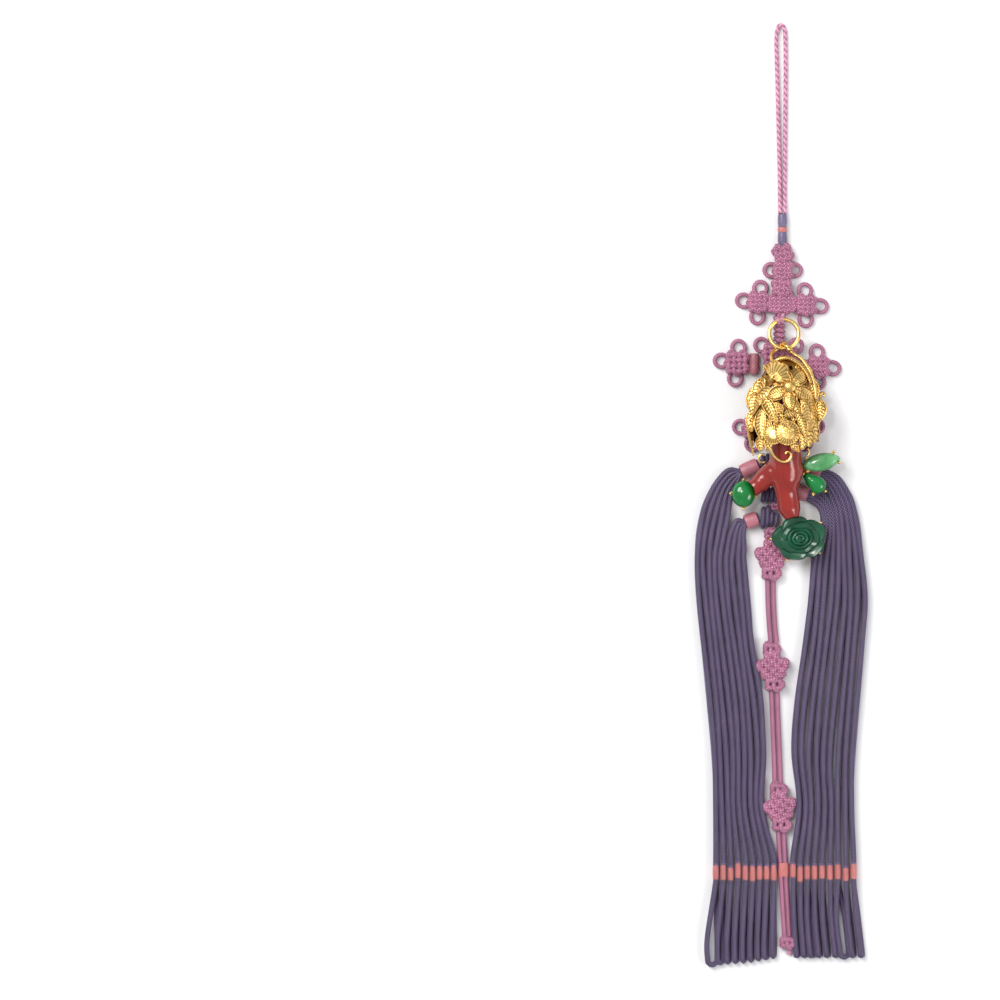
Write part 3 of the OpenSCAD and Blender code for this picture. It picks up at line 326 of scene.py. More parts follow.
def remap(tree, value, low, high, start=0.0, end=1.0):
    node = tree.nodes.new("ShaderNodeMapRange")
    node.inputs["From Min"].default_value = low
    node.inputs["From Max"].default_value = high
    node.inputs["To Min"].default_value = start
    node.inputs["To Max"].default_value = end
    tree.links.new(value, node.inputs["Value"])
    return node.outputs["Result"]


def blend_colours(tree, factor, a, b, kind="MIX"):
    """Two colours mixed by a value"""
    node = tree.nodes.new("ShaderNodeMix")
    node.data_type = "RGBA"
    node.blend_type = kind
    for socket, value in (("Factor", factor), ("A", a), ("B", b)):
        target = next(s for s in node.inputs if s.name == socket
                      and (s.type == "RGBA" or socket == "Factor") and s.enabled)
        if isinstance(value, (int, float, tuple)):
            target.default_value = value
        else:
            tree.links.new(value, target)
    return next(s for s in node.outputs if s.type == "RGBA" and s.enabled)


def add_values(tree, a, b, kind="ADD"):
    """Sum of two values, or another operation on them"""
    node = tree.nodes.new("ShaderNodeMath")
    node.operation = kind
    for socket, value in zip(node.inputs, (a, b)):
        if isinstance(value, (int, float)):
            socket.default_value = value
        else:
            tree.links.new(value, socket)
    return node.outputs[0]


COLOUR_IN = "NodeSocketColor"
VALUE_IN = "NodeSocketFloat"
FINISH_OUT = [("Colour", COLOUR_IN), ("Roughness", VALUE_IN), ("Height", VALUE_IN)]


def silk_group():
    """Silk: painted shade in the gaps between raised stitches, fibres and slow changes of dye"""
    tree, given, result = group_tree("Silk", [
        ("Light", COLOUR_IN, (0.5, 0.5, 0.5, 1)), ("Deep", COLOUR_IN, (0.1, 0.1, 0.1, 1)),
        ("Gloss", VALUE_IN, 0.5)], FINISH_OUT)
    coord = tree.nodes.new("ShaderNodeTexCoord").outputs["Object"]
    rise = tree.nodes.new("ShaderNodeAttribute")
    rise.attribute_name = "rise"
    fibre = noise(tree, coord, 5200, 2)
    dye = noise(tree, coord, 160, 2)
    lift = add_values(tree, rise.outputs["Fac"], remap(tree, fibre, 0.3, 0.7, -0.14, 0.14))
    # Painted shade: low points of the weave take the Deep colour, raised stitches the Light one
    painted_shade_mask = remap(tree, lift, 0.2, 0.9)
    body = blend_colours(tree, painted_shade_mask, given.outputs["Deep"], given.outputs["Light"])
    shade = blend_colours(tree, remap(tree, dye, 0.3, 0.7), (0.86, 0.86, 0.88, 1), (1.1, 1.08, 1.08, 1))
    tree.links.new(blend_colours(tree, 1.0, body, shade, "MULTIPLY"), result.inputs["Colour"])
    rough = add_values(tree, given.outputs["Gloss"], remap(tree, fibre, 0.3, 0.7, -0.08, 0.1))
    tree.links.new(rough, result.inputs["Roughness"])
    tree.links.new(fibre, result.inputs["Height"])
    return tree


def stone_group():
    """Jade: clouds, faint veins and polishing marks"""
    tree, given, result = group_tree("Jade", [
        ("Body", COLOUR_IN, (0.1, 0.4, 0.1, 1)), ("Cloud", COLOUR_IN, (0.2, 0.5, 0.2, 1)),
        ("Polish", VALUE_IN, 0.1)], FINISH_OUT)
    coord = tree.nodes.new("ShaderNodeTexCoord").outputs["Object"]
    cloud = noise(tree, coord, 210, 5)
    vein = noise(tree, coord, 620, 3, (1, 0.35, 1))
    mix = add_values(tree, remap(tree, cloud, 0.35, 0.7), remap(tree, vein, 0.5, 0.75, 0, 0.35))
    tree.links.new(blend_colours(tree, mix, given.outputs["Body"], given.outputs["Cloud"]),
                   result.inputs["Colour"])
    rough = add_values(tree, given.outputs["Polish"], remap(tree, cloud, 0.3, 0.7, -0.03, 0.06))
    tree.links.new(rough, result.inputs["Roughness"])
    tree.links.new(noise(tree, coord, 900, 2), result.inputs["Height"])
    return tree


def coral_group():
    """Polished coral: growth streaks along the branch, darker clouds and white specks"""
    tree, given, result = group_tree("Coral", [
        ("Body", COLOUR_IN, (0.4, 0.04, 0.02, 1)), ("Polish", VALUE_IN, 0.15)], FINISH_OUT)
    coord = tree.nodes.new("ShaderNodeTexCoord").outputs["Object"]
    streak = noise(tree, coord, 900, 3, (1, 0.12, 1))
    cloud = noise(tree, coord, 90, 3)
    body = blend_colours(tree, remap(tree, cloud, 0.35, 0.7), (0.9, 0.86, 0.86, 1), (1.1, 1.12, 1.1, 1))
    body = blend_colours(tree, 1.0, given.outputs["Body"], body, "MULTIPLY")
    lines = blend_colours(tree, remap(tree, streak, 0.35, 0.65), (0.93, 0.9, 0.9, 1), (1.04, 1.05, 1.05, 1))
    body = blend_colours(tree, 1.0, body, lines, "MULTIPLY")
    specks = tree.nodes.new("ShaderNodeTexVoronoi")
    specks.inputs["Scale"].default_value = 420
    tree.links.new(coord, specks.inputs["Vector"])
    sparse = remap(tree, noise(tree, coord, 240, 1), 0.52, 0.6)
    dots = add_values(tree, remap(tree, specks.outputs["Distance"], 0.1, 0.05), sparse, "MULTIPLY")
    tree.links.new(blend_colours(tree, dots, body, (0.62, 0.36, 0.30, 1)), result.inputs["Colour"])
    rough = add_values(tree, given.outputs["Polish"], remap(tree, streak, 0.3, 0.7, -0.04, 0.08))
    tree.links.new(rough, result.inputs["Roughness"])
    tree.links.new(streak, result.inputs["Height"])
    return tree


def gold_group():
    """Gold: fine grain, tarnish in broad patches, polished rubs and painted shade in its recesses"""
    tree, given, result = group_tree("Gold finish", [
        ("Tone", COLOUR_IN, (0.8, 0.5, 0.15, 1)), ("Deep", COLOUR_IN, (0.3, 0.15, 0.03, 1)),
        ("Roughness", VALUE_IN, 0.3), ("Grain", VALUE_IN, 3000)], FINISH_OUT)
    coord = tree.nodes.new("ShaderNodeTexCoord").outputs["Object"]
    rise = tree.nodes.new("ShaderNodeAttribute")
    rise.attribute_name = "relief_shade"
    grain = noise(tree, coord, 3600, 3)
    patch = noise(tree, coord, 260, 3)
    worn = remap(tree, patch, 0.35, 0.65, 0, 0.25)
    # Tarnish in broad patches plus painted shade in the recesses, which the relief marks
    depth = add_values(tree, worn, rise.outputs["Fac"])
    tree.links.new(blend_colours(tree, depth, given.outputs["Tone"], given.outputs["Deep"]),
                   result.inputs["Colour"])
    rough = add_values(tree, given.outputs["Roughness"], remap(tree, grain, 0.3, 0.7, -0.1, 0.14))
    tree.links.new(rough, result.inputs["Roughness"])
    tree.links.new(grain, result.inputs["Height"])
    return tree


def finish_material(name, group, values, bump, bump_size, **sockets):
    """A material with one group that feeds its colour, roughness and bump"""
    material = bpy.data.materials.new(name)
    material.use_nodes = True
    tree = material.node_tree
    shader = tree.nodes["Principled BSDF"]
    node = tree.nodes.new("ShaderNodeGroup")
    node.node_tree = bpy.data.node_groups[group]
    for label, value in values.items():
        node.inputs[label].default_value = value
    relief = tree.nodes.new("ShaderNodeBump")
    relief.inputs["Strength"].default_value = bump
    relief.inputs["Distance"].default_value = bump_size
    tree.links.new(node.outputs["Colour"], shader.inputs["Base Color"])
    tree.links.new(node.outputs["Roughness"], shader.inputs["Roughness"])
    tree.links.new(node.outputs["Height"], relief.inputs["Height"])
    tree.links.new(relief.outputs["Normal"], shader.inputs["Normal"])
    for label, value in sockets.items():
        shader.inputs[label.replace("_", " ")].default_value = value
    return material


def make_materials():
    """All finishes of the object"""
    for build in (silk_group, stone_group, coral_group, gold_group):
        build()
    c = bpy.context.scene.norigae_colours
    silks = {
        "pink_silk": (c.pink, c.pink_painted_shade, 0.38),
        "purple_silk": (c.purple, c.purple_painted_shade, 0.5),
        # Painted shade between the turns of these threads: their darker second colours
        "rose_silk": (c.rose, [v * 0.45 for v in c.rose[:3]] + [1], 0.34),
        "coral_silk": (c.coral_thread, [v * 0.5 for v in c.coral_thread[:3]] + [1], 0.34),
        "binding_silk": (c.binding, [v * 0.5 for v in c.binding[:3]] + [1], 0.34),
    }
    for name, (light, deep, gloss) in silks.items():
        finish_material(name, "Silk", {"Light": light, "Deep": deep, "Gloss": gloss},
                        0.35, 0.0001, Sheen_Weight=0.25, Sheen_Roughness=0.4,
                        Specular_IOR_Level=0.5)
    finish_material("cast_gold", "Gold finish",
                    {"Tone": c.gold, "Deep": c.gold_tarnish_and_shade, "Roughness": 0.3}, 0.4, 0.00012,
                    Metallic=1.0)
    finish_material("bright_gold", "Gold finish",
                    {"Tone": c.gold, "Deep": c.gold_tarnish_and_shade, "Roughness": 0.24}, 0.15, 0.00005,
                    Metallic=1.0)
    finish_material("red_coral", "Coral", {"Body": c.coral, "Polish": 0.2}, 0.12, 0.00006,
                    Coat_Weight=0.25, Coat_Roughness=0.06)
    finish_material("polished_green", "Jade", {
        "Body": c.green, "Cloud": (0.003, 0.20, 0.04, 1), "Polish": 0.12}, 0.03, 0.0001,
        Coat_Weight=0.25, Coat_Roughness=0.04)
    finish_material("polished_pale", "Jade", {
        "Body": c.pale, "Cloud": (0.16, 0.45, 0.19, 1), "Polish": 0.16}, 0.03, 0.0001,
        Coat_Weight=0.3, Coat_Roughness=0.05, Subsurface_Weight=0.1, Subsurface_Scale=0.002)
    finish_material("carved_green", "Jade", {
        "Body": c.dark, "Cloud": (0.008, 0.095, 0.042, 1), "Polish": 0.2}, 0.05, 0.0001,
        Coat_Weight=0.2, Coat_Roughness=0.1)


# Cords and knots

def ring_route(x, y, z, r, count=24, stretch=1.0, turn=0.0):
    """Points round a ring"""
    out = []
    for i in range(count):
        a = 2 * math.pi * i / count
        u, v = r * stretch * math.cos(a), r * math.sin(a)
        out.append((x + u * math.cos(turn) - v * math.sin(turn),
                    y + u * math.sin(turn) + v * math.cos(turn), z))
    return out


def knot_cord():
    """Diameter of the knots' cord in millimetres"""
    return bpy.context.scene.norigae_sizes.knot_cord / MM


def cord_loop(yarn, x, y, z=1.15, r=2.55, turn=0.0, stretch=1.06):
    """A loop of braided cord beside a knot"""
    yarn.tube(ring_route(x, y, z, r, stretch=stretch, turn=turn), knot_cord(), sides=10,
              spacing=0.52, closed=True, depth=0.18)


def woven_pad(yarn, x, y, z, w, h, runs_x, runs_y, turn=0.0, cord=None, thick=KNOT_T):
    """A knot's body: cord that runs to and fro in both directions, each over and under"""
    d = cord or knot_cord()
    a, b = w / 2 - d * 0.55, h / 2 - d * 0.55
    wave = min(0.42, d * 0.2)
    level = max(thick / 2 - d / 2 - wave, 0.2)
    xs = np.linspace(-a, a, runs_x) if runs_x > 1 else np.array([0.0])
    ys = np.linspace(-b, b, runs_y) if runs_y > 1 else np.array([0.0])

    def height(u, v, sign):
        dome = 0.25 * (1 - 0.6 * (u / max(a, 0.1)) ** 2 - 0.6 * (v / max(b, 0.1)) ** 2)
        return level + dome * 0.6 + sign * wave

    def sheet(across):
        rows, cols = (ys, xs) if across else (xs, ys)
        out = []
        for j, row in enumerate(rows):
            order = range(len(cols)) if j % 2 == 0 else reversed(range(len(cols)))
            line = []
            for i in order:
                over = 1 if (i + j) % 2 == (0 if across else 1) else -1
                u, v = (cols[i], row) if across else (row, cols[i])
                line.append([u, v, height(u, v, over)])
            if len(line) < 2:
                half = (a if across else b) + 0.3
                line = [[-half, row, level], line[0], [half, row, level]] if across \
                    else [[row, -half, level], line[0], [row, half, level]]
            out.extend(line)
            if j < len(rows) - 1:
                step = (rows[j + 1] + row) / 2
                edge = (max(cols) + 0.62 * d) if j % 2 == 0 else (min(cols) - 0.62 * d)
                out.append([edge, step, level * 0.75] if across else [step, edge, level * 0.75])
        return out

    cos, sin = math.cos(turn), math.sin(turn)
    for across in (True, False):
        front = sheet(across)
        back = [[u, v, -q] for u, v, q in reversed(front)]
        route = [(x + u * cos - v * sin, y + u * sin + v * cos, z + q) for u, v, q in front + back]
        yarn.tube(smooth_route(route, 8, True), d * 1.2, d, sides=10, spacing=0.55, closed=True,
                  depth=0.16, up=(0.05, 0.08, 1) if across else (0.08, 0.05, 1))


def looped_knot(yarn, x, y, angles, reach):
    """A woven knot with a loop at each angle"""
    body = (reach + 0.22 - 2.4) * 2.15
    woven_pad(yarn, x, y, KNOT_Z, body, body, 4, 4)
    for a in angles:
        r = math.radians(a)
        cord_loop(yarn, x + (reach + 0.05) * math.cos(r), y + (reach + 0.05) * math.sin(r), turn=r)


def coil_route(x, y, z, radius, length, pitch):
    """Turns of cord round an axis that runs along Y"""
    count = int(length / pitch * 20)
    return [(x + radius * math.cos(2 * math.pi * i / 20),
             y + length * i / count,
             z + radius * math.sin(2 * math.pi * i / 20)) for i in range(count + 1)]


LOOP_ROUTE = [
    (-0.9, 0, 1.9), (-0.9, 3, 1.4), (-1.0, 8, 0.9), (-1.2, 20, 0.9), (-1.5, 32, 0.9),
    (-1.8, 44, 0.9), (-2.1, 56, 0.9), (-2.4, 66, 0.9), (-2.4, 70, 0.9), (-2.1, 73, 0.9),
    (-1.5, 74.9, 0.9), (-0.5, 75.6, 0.9), (0.4, 74.9, 0.9), (1.0, 73, 0.9), (1.2, 70, 0.9),
    (1.3, 64, 0.9), (1.3, 54, 0.9), (1.2, 42, 0.9), (1.1, 30, 0.9), (1.0, 18, 0.9),
    (0.9, 8, 0.9), (0.9, 3, 1.4), (0.9, 0, 1.9)
]


def make_hanging_loop():
    """The twisted hanging loop"""
    d = bpy.context.scene.norigae_sizes.loop_cord / MM
    route = smooth_route([(AXIS + x, 150.6 + y, z) for x, y, z in LOOP_ROUTE], 6)
    yarn = Yarn()
    path = yarn.tube(route, d, sides=14, spacing=0.42, weave="ply", depth=0.3, period=2.5)
    piece = yarn.make("hanging_loop_cord", "pink_silk", "pink_cord", "hanging_loop")


def make_binding():
    """Purple thread below the hanging loop, with its coral-pink band"""
    pitch = bpy.context.scene.norigae_sizes.thread / MM
    start, end = BINDING_Y, BINDING_Y + BINDING_LEN
    low, high = start + 5.25, start + 7.15
    x, z = AXIS, 1.95
    yarn = Yarn()
    for a, b in ((start, low), (high, end)):
        yarn.tube([(x, a, z), (x, (a + b) / 2, z), (x, b, z)], [3.5, 3.9, 3.9, 3.5], sides=20,
                  spacing=pitch / 2, weave="ridge", depth=0.06)
    yarn.make("binding_thread", "binding_silk", "purple_thread", "loop_binding")
    band = Yarn()
    band.tube([(x, low, z), (x, high, z)], [3.8, 4.05, 3.8], sides=20, spacing=pitch / 2,
              weave="ridge", depth=0.06)
    band.make("binding_band_thread", "coral_silk", "coral_thread", "binding_band")


def make_upper_knots():
    """The knots above the ring, the cross of knots and their loops"""
    yarn = Yarn()
    woven_pad(yarn, AXIS + 0.2, TOP_Y, KNOT_Z, 7.2, 6.5, 4, 3, math.radians(8))
    yarn.make("top_knot_cord", "pink_silk", "pink_cord", "top_knot")
    yarn = Yarn()
    woven_pad(yarn, AXIS + 0.1, EARED_Y, KNOT_Z, 7.2, 7.2, 4, 4)
    for side in (-1, 1):
        cord_loop(yarn, AXIS + 0.1 + side * 4.5, EARED_Y + 0.2, turn=0.1 * side, stretch=1.12)
    yarn.make("eared_knot_cord", "pink_silk", "pink_cord", "eared_knot")
    yarn = Yarn()
    woven_pad(yarn, AXIS - 0.3, ROUND_Y, KNOT_Z, 7.3, 6.5, 4, 3, math.radians(-10))
    yarn.make("round_knot_cord", "pink_silk", "pink_cord", "round_knot")
    span = 19.2
    yarn = Yarn()
    woven_pad(yarn, AXIS - 0.2, CROSS_Y, KNOT_Z, 11.4, 6.6, 6, 4)
    yarn.make("cross_centre_cord", "pink_silk", "pink_cord", "cross_knot_centre")
    for name, side, rise, angles in (
            ("left", -1, 0.8, (80, 173, 268)), ("right", 1, -0.3, (94, -4, 269))):
        yarn = Yarn()
        looped_knot(yarn, AXIS - 0.2 + side * span / 2, CROSS_Y + rise, angles, 5.7)
        yarn.make(f"cross_{name}_cord", "pink_silk", "pink_cord", f"cross_knot_{name}")


def make_column():
    """The coiled cord behind the ring, and the threads that tie the ring to it"""
    yarn = Yarn()
    d = 2.05
    radius = 5.2 / 2 - d / 2
    yarn.tube(coil_route(AXIS - 1.3, COLUMN_Y + 0.9, 2.6, radius, 12.4 - 1.8, 2.06), d, sides=10,
              spacing=0.6, depth=0.14, up=(0, 1, 0))
    yarn.tube([(AXIS - 1.3, COLUMN_Y + 0.2, 2.6), (AXIS - 1.3, COLUMN_Y + 12.2, 2.6)], 2.4,
              sides=10, spacing=0.6)
    yarn.make("ring_column_cord", "pink_silk", "pink_cord", "ring_column")
    ring_r = (13.4 - 1.65) / 2
    tilt = Matrix.Rotation(math.radians(-9), 3, "X")
    origin = Vector((AXIS + 0.5, RING_Y + ring_r, 5.2 + 1.65 / 2 + 0.1))
    yarn = Yarn()
    for turn in (3, 9, 21, 27):
        spin = Matrix.Rotation(math.radians(turn), 3, "Z")
        route = []
        for i in range(13):
            a = math.radians(-15 + 210 * i / 12)
            p = Vector((0, ring_r + 1.3 * math.cos(a), 1.3 * math.sin(a)))
            route.append(tuple(origin + tilt @ (Vector((0, -ring_r, 0)) + spin @ p)))
        yarn.tube(smooth_route(route, 3), 0.85, sides=8, spacing=0.3, weave="ply", depth=0.2,
                  up=(1, 0.1, 0), period=1.2)
    yarn.make("ring_tie_thread", "pink_silk", "pink_cord", "ring_tie")


def make_middle_knots():
    """The knots behind the cap's top, the woven sleeve and the lower knot loops"""
    yarn = Yarn()
    x, y = AXIS - 1.2, MID_Y
    woven_pad(yarn, x, y, KNOT_Z, 12.8, 8.4, 6, 4)
    cord_loop(yarn, x - 7.1, y + 3.9, turn=2.4)
    cord_loop(yarn, x + 6.5, y + 3.6, turn=0.7)
    yarn.make("mid_centre_cord", "pink_silk", "pink_cord", "mid_knot_centre")
    yarn = Yarn()
    looped_knot(yarn, AXIS - 18.2, MID_Y - 3.2, (84, 172, 264), 6.2)
    yarn.make("mid_left_cord", "pink_silk", "pink_cord", "mid_knot_left")
    yarn = Yarn()
    x, y = AXIS + 14.2, MID_Y - 4.8
    looped_knot(yarn, x, y, (94, -5, 270), 5.9)
    yarn.tube([(x - 2, y + 1.2, KNOT_Z), (x - 9.2, y + 3.2, KNOT_Z)], 2.1, sides=10, spacing=0.6)
    yarn.make("mid_right_cord", "pink_silk", "pink_cord", "mid_knot_right")
    yarn = Yarn()
    x, y = AXIS - 11.2, MID_Y - 3.6
    yarn.tube([(x, y - 4.2, KNOT_Z), (x - 0.1, y, KNOT_Z), (x, y + 4.2, KNOT_Z)],
              [3.7, 4.8, 4.3, 4.9, 3.9], [3.6, 4.4, 4.2, 4.4, 3.8], sides=16, spacing=0.8,
              depth=0.22)
    yarn.make("woven_sleeve_thread", "rose_silk", "rose_thread", "woven_sleeve")
    yarn = Yarn()
    yarn.tube(coil_route(AXIS - 1, 56.9, KNOT_Z, 1.15, 32, 2.1), 2.05, sides=10, spacing=0.65,
              depth=0.14, up=(0, 1, 0))
    yarn.make("back_column_cord", "pink_silk", "pink_cord", "back_column")
    for name, side, x, y in (("left", -1, AXIS - 11.2, LOW_Y), ("right", 1, AXIS + 8.2, LOW_Y + 0.2)):
        yarn = Yarn()
        woven_pad(yarn, x, y, KNOT_Z, 8.8, 7.8, 5, 4)
        cord_loop(yarn, x + side * 5.5, y + 0.6, turn=0 if side > 0 else math.pi)
        cord_loop(yarn, x + side * 0.8, y - 6, turn=-math.pi / 2)
        inner = x - side * (7.7 if side < 0 else 6.7)
        yarn.tube([(x - side * 2, y, KNOT_Z), (inner, y, KNOT_Z)], 2.1, sides=10, spacing=0.6)
        yarn.make(f"low_{name}_cord", "pink_silk", "pink_cord", f"low_knot_{name}")


# The tassel

NECKS = [(-9.8, 3.4, 204, 7.2), (-10.05, 24.6, 200, 5), (8.6, 3.8, -24, 7.2), (5, 13.7, -18, 5.2)]
NECK_NAMES = ("upper_left", "lower_left", "upper_right", "lower_right")
COUNTS = (5, 4, 5, 4)
# Fans of strands, as in the CAD source: outer edge x and y, inner edge x and y, as shares of
# half the tassel's width and of its length below the shoulders
FANS = [
    [(-0.59, 0.022, -0.50, 0.056), (-0.73, 0.041, -0.54, 0.072), (-0.84, 0.069, -0.565, 0.091),
     (-0.93, 0.104, -0.58, 0.12), (-0.985, 0.155, -0.63, 0.16), (-1, 0.21, -0.67, 0.21),
     (-0.965, 0.3, -0.63, 0.3), (-0.86, 0.477, -0.5, 0.477), (-0.81, 0.583, -0.455, 0.583),
     (-0.785, 0.686, -0.45, 0.686), (-0.795, 0.785, -0.37, 0.785), (-0.795, 0.83, -0.37, 0.83),
     (-0.84, 0.94, -0.39, 0.94), (-0.84, 0.99, -0.39, 0.985)],
    [(-0.51, 0.121, -0.42, 0.15), (-0.575, 0.135, -0.415, 0.165), (-0.625, 0.156, -0.4, 0.18),
     (-0.655, 0.184, -0.4, 0.197), (-0.67, 0.216, -0.39, 0.216), (-0.63, 0.3, -0.34, 0.3),
     (-0.57, 0.375, -0.3, 0.375), (-0.5, 0.477, -0.205, 0.477), (-0.455, 0.583, -0.17, 0.583),
     (-0.45, 0.686, -0.19, 0.686), (-0.37, 0.785, -0.045, 0.785), (-0.37, 0.83, -0.045, 0.83),
     (-0.39, 0.94, -0.05, 0.94), (-0.39, 0.985, -0.05, 0.975)],
    [(0.56, 0.028, 0.465, 0.057), (0.67, 0.039, 0.52, 0.071), (0.765, 0.062, 0.57, 0.089),
     (0.84, 0.088, 0.605, 0.109), (0.905, 0.135, 0.625, 0.145), (0.955, 0.195, 0.62, 0.195),
     (1, 0.279, 0.61, 0.279), (0.965, 0.377, 0.555, 0.377), (0.87, 0.578, 0.44, 0.578),
     (0.85, 0.686, 0.46, 0.686), (0.88, 0.785, 0.425, 0.785), (0.88, 0.83, 0.425, 0.83),
     (0.92, 0.9, 0.44, 0.9), (0.97, 0.975, 0.48, 0.975)],
    [(0.42, 0.063, 0.35, 0.093), (0.515, 0.076, 0.415, 0.1), (0.59, 0.098, 0.455, 0.113),
     (0.62, 0.125, 0.46, 0.135), (0.63, 0.159, 0.405, 0.164), (0.62, 0.195, 0.355, 0.195),
     (0.61, 0.279, 0.3, 0.279), (0.555, 0.377, 0.235, 0.377), (0.49, 0.475, 0.15, 0.475),
     (0.44, 0.578, 0.11, 0.578), (0.46, 0.686, 0.17, 0.686), (0.425, 0.785, 0.095, 0.785),
     (0.425, 0.83, 0.095, 0.83), (0.44, 0.9, 0.115, 0.9), (0.48, 0.975, 0.14, 0.975)],
]
# How far the two legs of a pair part below its wrap: bundle, pair, half the distance
OPEN_LOOPS = {(0, 0): 1.9, (0, 1): 1.0, (2, 2): 1.7, (1, 2): 0.7, (3, 1): 0.8}
NECK_Z = 2.7


def fan_point(row, share):
    """A place across a fan of strands"""
    return ((row[0] + (row[2] - row[0]) * share) * TASSEL_HALF,
            SHOULDER_Y - (row[1] + (row[3] - row[1]) * share) * TASSEL_LEN)


def neck_frame(i):
    """Start, direction and length of a bundle's neck"""
    x, y, turn, length = NECKS[i]
    a = math.radians(turn)
    return np.array((AXIS + x, SHOULDER_Y - y)), np.array((math.cos(a), math.sin(a))), length


def strand_legs(i, k):
    """The upper leg of a pair from its neck down to the loop, and the lower leg back up"""
    share = (k + 0.5) / COUNTS[i]
    start, along, length = neck_frame(i)
    side = np.array((-along[1], along[0])) * (-1 if i < 2 else 1) * -1
    side = side * (-1 if NECKS[i][0] < 0 else 1) * -1
    root = start + along * (length - 1.6) + side * 3.9 * (0.5 - share)
    rows = FANS[i]
    middle = [fan_point(row, share) for row in rows]
    below = [row[1] for row in rows]
    tip = middle[-1]
    legs = []
    for level, lean in ((1, -1), (-1, 1)):
        z = STRAND_D + level * STRAND_D * 0.5
        leg = [(root[0], root[1], NECK_Z + level * 0.75)]
        for q, (x, y) in enumerate(middle[:-1]):
            part = OPEN_LOOPS.get((i, k), 0.45) if below[q] > 0.86 else 0.0
            sway = 0.22 * math.sin(1.7 * q + 2.1 * k + 1.3 * i + level) if 3 < q and below[q] < 0.7 else 0
            leg.append((x + lean * part + sway, y, z))
        legs.append(leg)
    part = OPEN_LOOPS.get((i, k), 0.45)
    r = max(part, 1.05)
    turn = [(tip[0] - part, tip[1] + r * 0.6, 2.9), (tip[0] - part * 0.7, tip[1] - r * 0.35, 2.6),
            (tip[0], tip[1] - r * 0.75, STRAND_D), (tip[0] + part * 0.7, tip[1] - r * 0.35, 1.5),
            (tip[0] + part, tip[1] + r * 0.6, 1.25)]
    return legs[0] + turn + list(reversed(legs[1]))


def make_tassel():
    """Four bundles of braided strands, their neck wraps and the wraps round each pair"""
    sizes = bpy.context.scene.norigae_sizes
    d, stitch, pitch = sizes.strand / MM, sizes.braid / MM, sizes.thread / MM
    wide, high = [1.4] + [d * 1.13] * 40 + [1.4], [1.4] + [d] * 40 + [1.4]
    for i, name in enumerate(NECK_NAMES):
        yarn = Yarn()
        for k in range(COUNTS[i]):
            yarn.tube(smooth_route(strand_legs(i, k), 8), wide, high, sides=12, spacing=stitch / 2,
                      depth=0.17, phase=k)
        start, along, length = neck_frame(i)
        a, b = start + along * -0.6, start + along * (length + 0.4)
        yarn.tube([(a[0], a[1], NECK_Z), (b[0], b[1], NECK_Z)], 4.8, 3.9, sides=16,
                  spacing=stitch / 2, depth=0.1)
        yarn.make(f"strands_{name}", "purple_silk", "purple_cord", f"tassel_{name}")
        wrap = Yarn()
        b = start + along * length
        wrap.tube([(start[0], start[1], NECK_Z), (b[0], b[1], NECK_Z)],
                  [5.9, 6.3, 6.3, 6.3, 5.9], [5.0, 5.4, 5.4, 5.4, 5.0], sides=24,
                  spacing=pitch / 2, weave="ridge", depth=0.045)
        wrap.make(f"neck_thread_{name}", "rose_silk", "rose_thread", f"neck_wrap_{name}")
    for name, bundles in (("left", (0, 1)), ("right", (2, 3))):
        wrap = Yarn()
        tie = Yarn()
        for i in bundles:
            rows = [row for row in FANS[i] if 0.78 < row[1] < 0.84]
            for k in range(COUNTS[i]):
                share = (k + 0.5) / COUNTS[i]
                a = np.array((*fan_point(rows[0], share), STRAND_D))
                b = np.array((*fan_point(rows[1], share), STRAND_D))
                along = (b - a) / np.linalg.norm(b - a)
                middle = a + (b - a) * (0.815 - 0.785) / 0.045
                middle += along * (0.5 * math.sin(3.7 * k + 2.1 * i) + 0.3 * math.sin(1.3 * k))
                half = 2.8 + 0.25 * math.sin(2.3 * k + 1.1 * i)
                ends = [middle - along * half, middle, middle + along * half]
                wrap.tube(ends, [2.5, 2.7, 2.75, 2.7, 2.5], [4.4, 4.8, 4.8, 4.8, 4.4], sides=20,
                          spacing=pitch / 2, weave="ridge", depth=0.06, square=0.8)
                top = middle - along * (half + 0.45)
                tie.tube([top - along * 0.4, top, top + along * 0.4], 2.5, 4.5, sides=16,
                         spacing=0.2, weave="ridge", depth=0.08, square=0.8)
        wrap.make(f"pair_thread_{name}", "coral_silk", "coral_thread", f"strand_wraps_{name}")
        tie.make(f"pair_tie_{name}", "purple_silk", "purple_cord")


UPPER_TURNS = ((-8, 1.8, 6, 2), (-4.8, 4.4, 11, 6), (6, 3.8, 9, 1))
MIDDLE_TURNS = ((-7.6, 15.4, 6, 1), (-6, 15.4, 6.6, 5), (2.6, 14.8, 5.4, 1))
LOWER_TURNS = ((-7.8, 24.1, 9.4, 2), (-4.2, 25, 6.4, 2))
TURN_T = 5.1


def upright_turn(yarn, x, y, height, lean=0.0):
    """One turn of strand round the drop: up the front and down the back"""
    d = bpy.context.scene.norigae_sizes.strand / MM
    h, t = height / 2 - d / 2, TURN_T / 2 - d / 2
    z = TURN_T / 2
    route = [(x - lean, y - h, z + t * 0.5), (x - lean * 0.5, y - h * 0.7, z + t), (x, y, z + t * 1.05),
             (x + lean * 0.5, y + h * 0.7, z + t), (x + lean, y + h, z + t * 0.5),
             (x + lean, y + h, z - t * 0.5), (x + lean * 0.5, y + h * 0.7, z - t), (x, y, z - t),
             (x - lean * 0.5, y - h * 0.7, z - t), (x - lean, y - h, z - t * 0.5)]
    yarn.tube(smooth_route(route, 6, True), d, sides=12, spacing=0.575, depth=0.16,
              up=(1, 0, 0), closed=True)


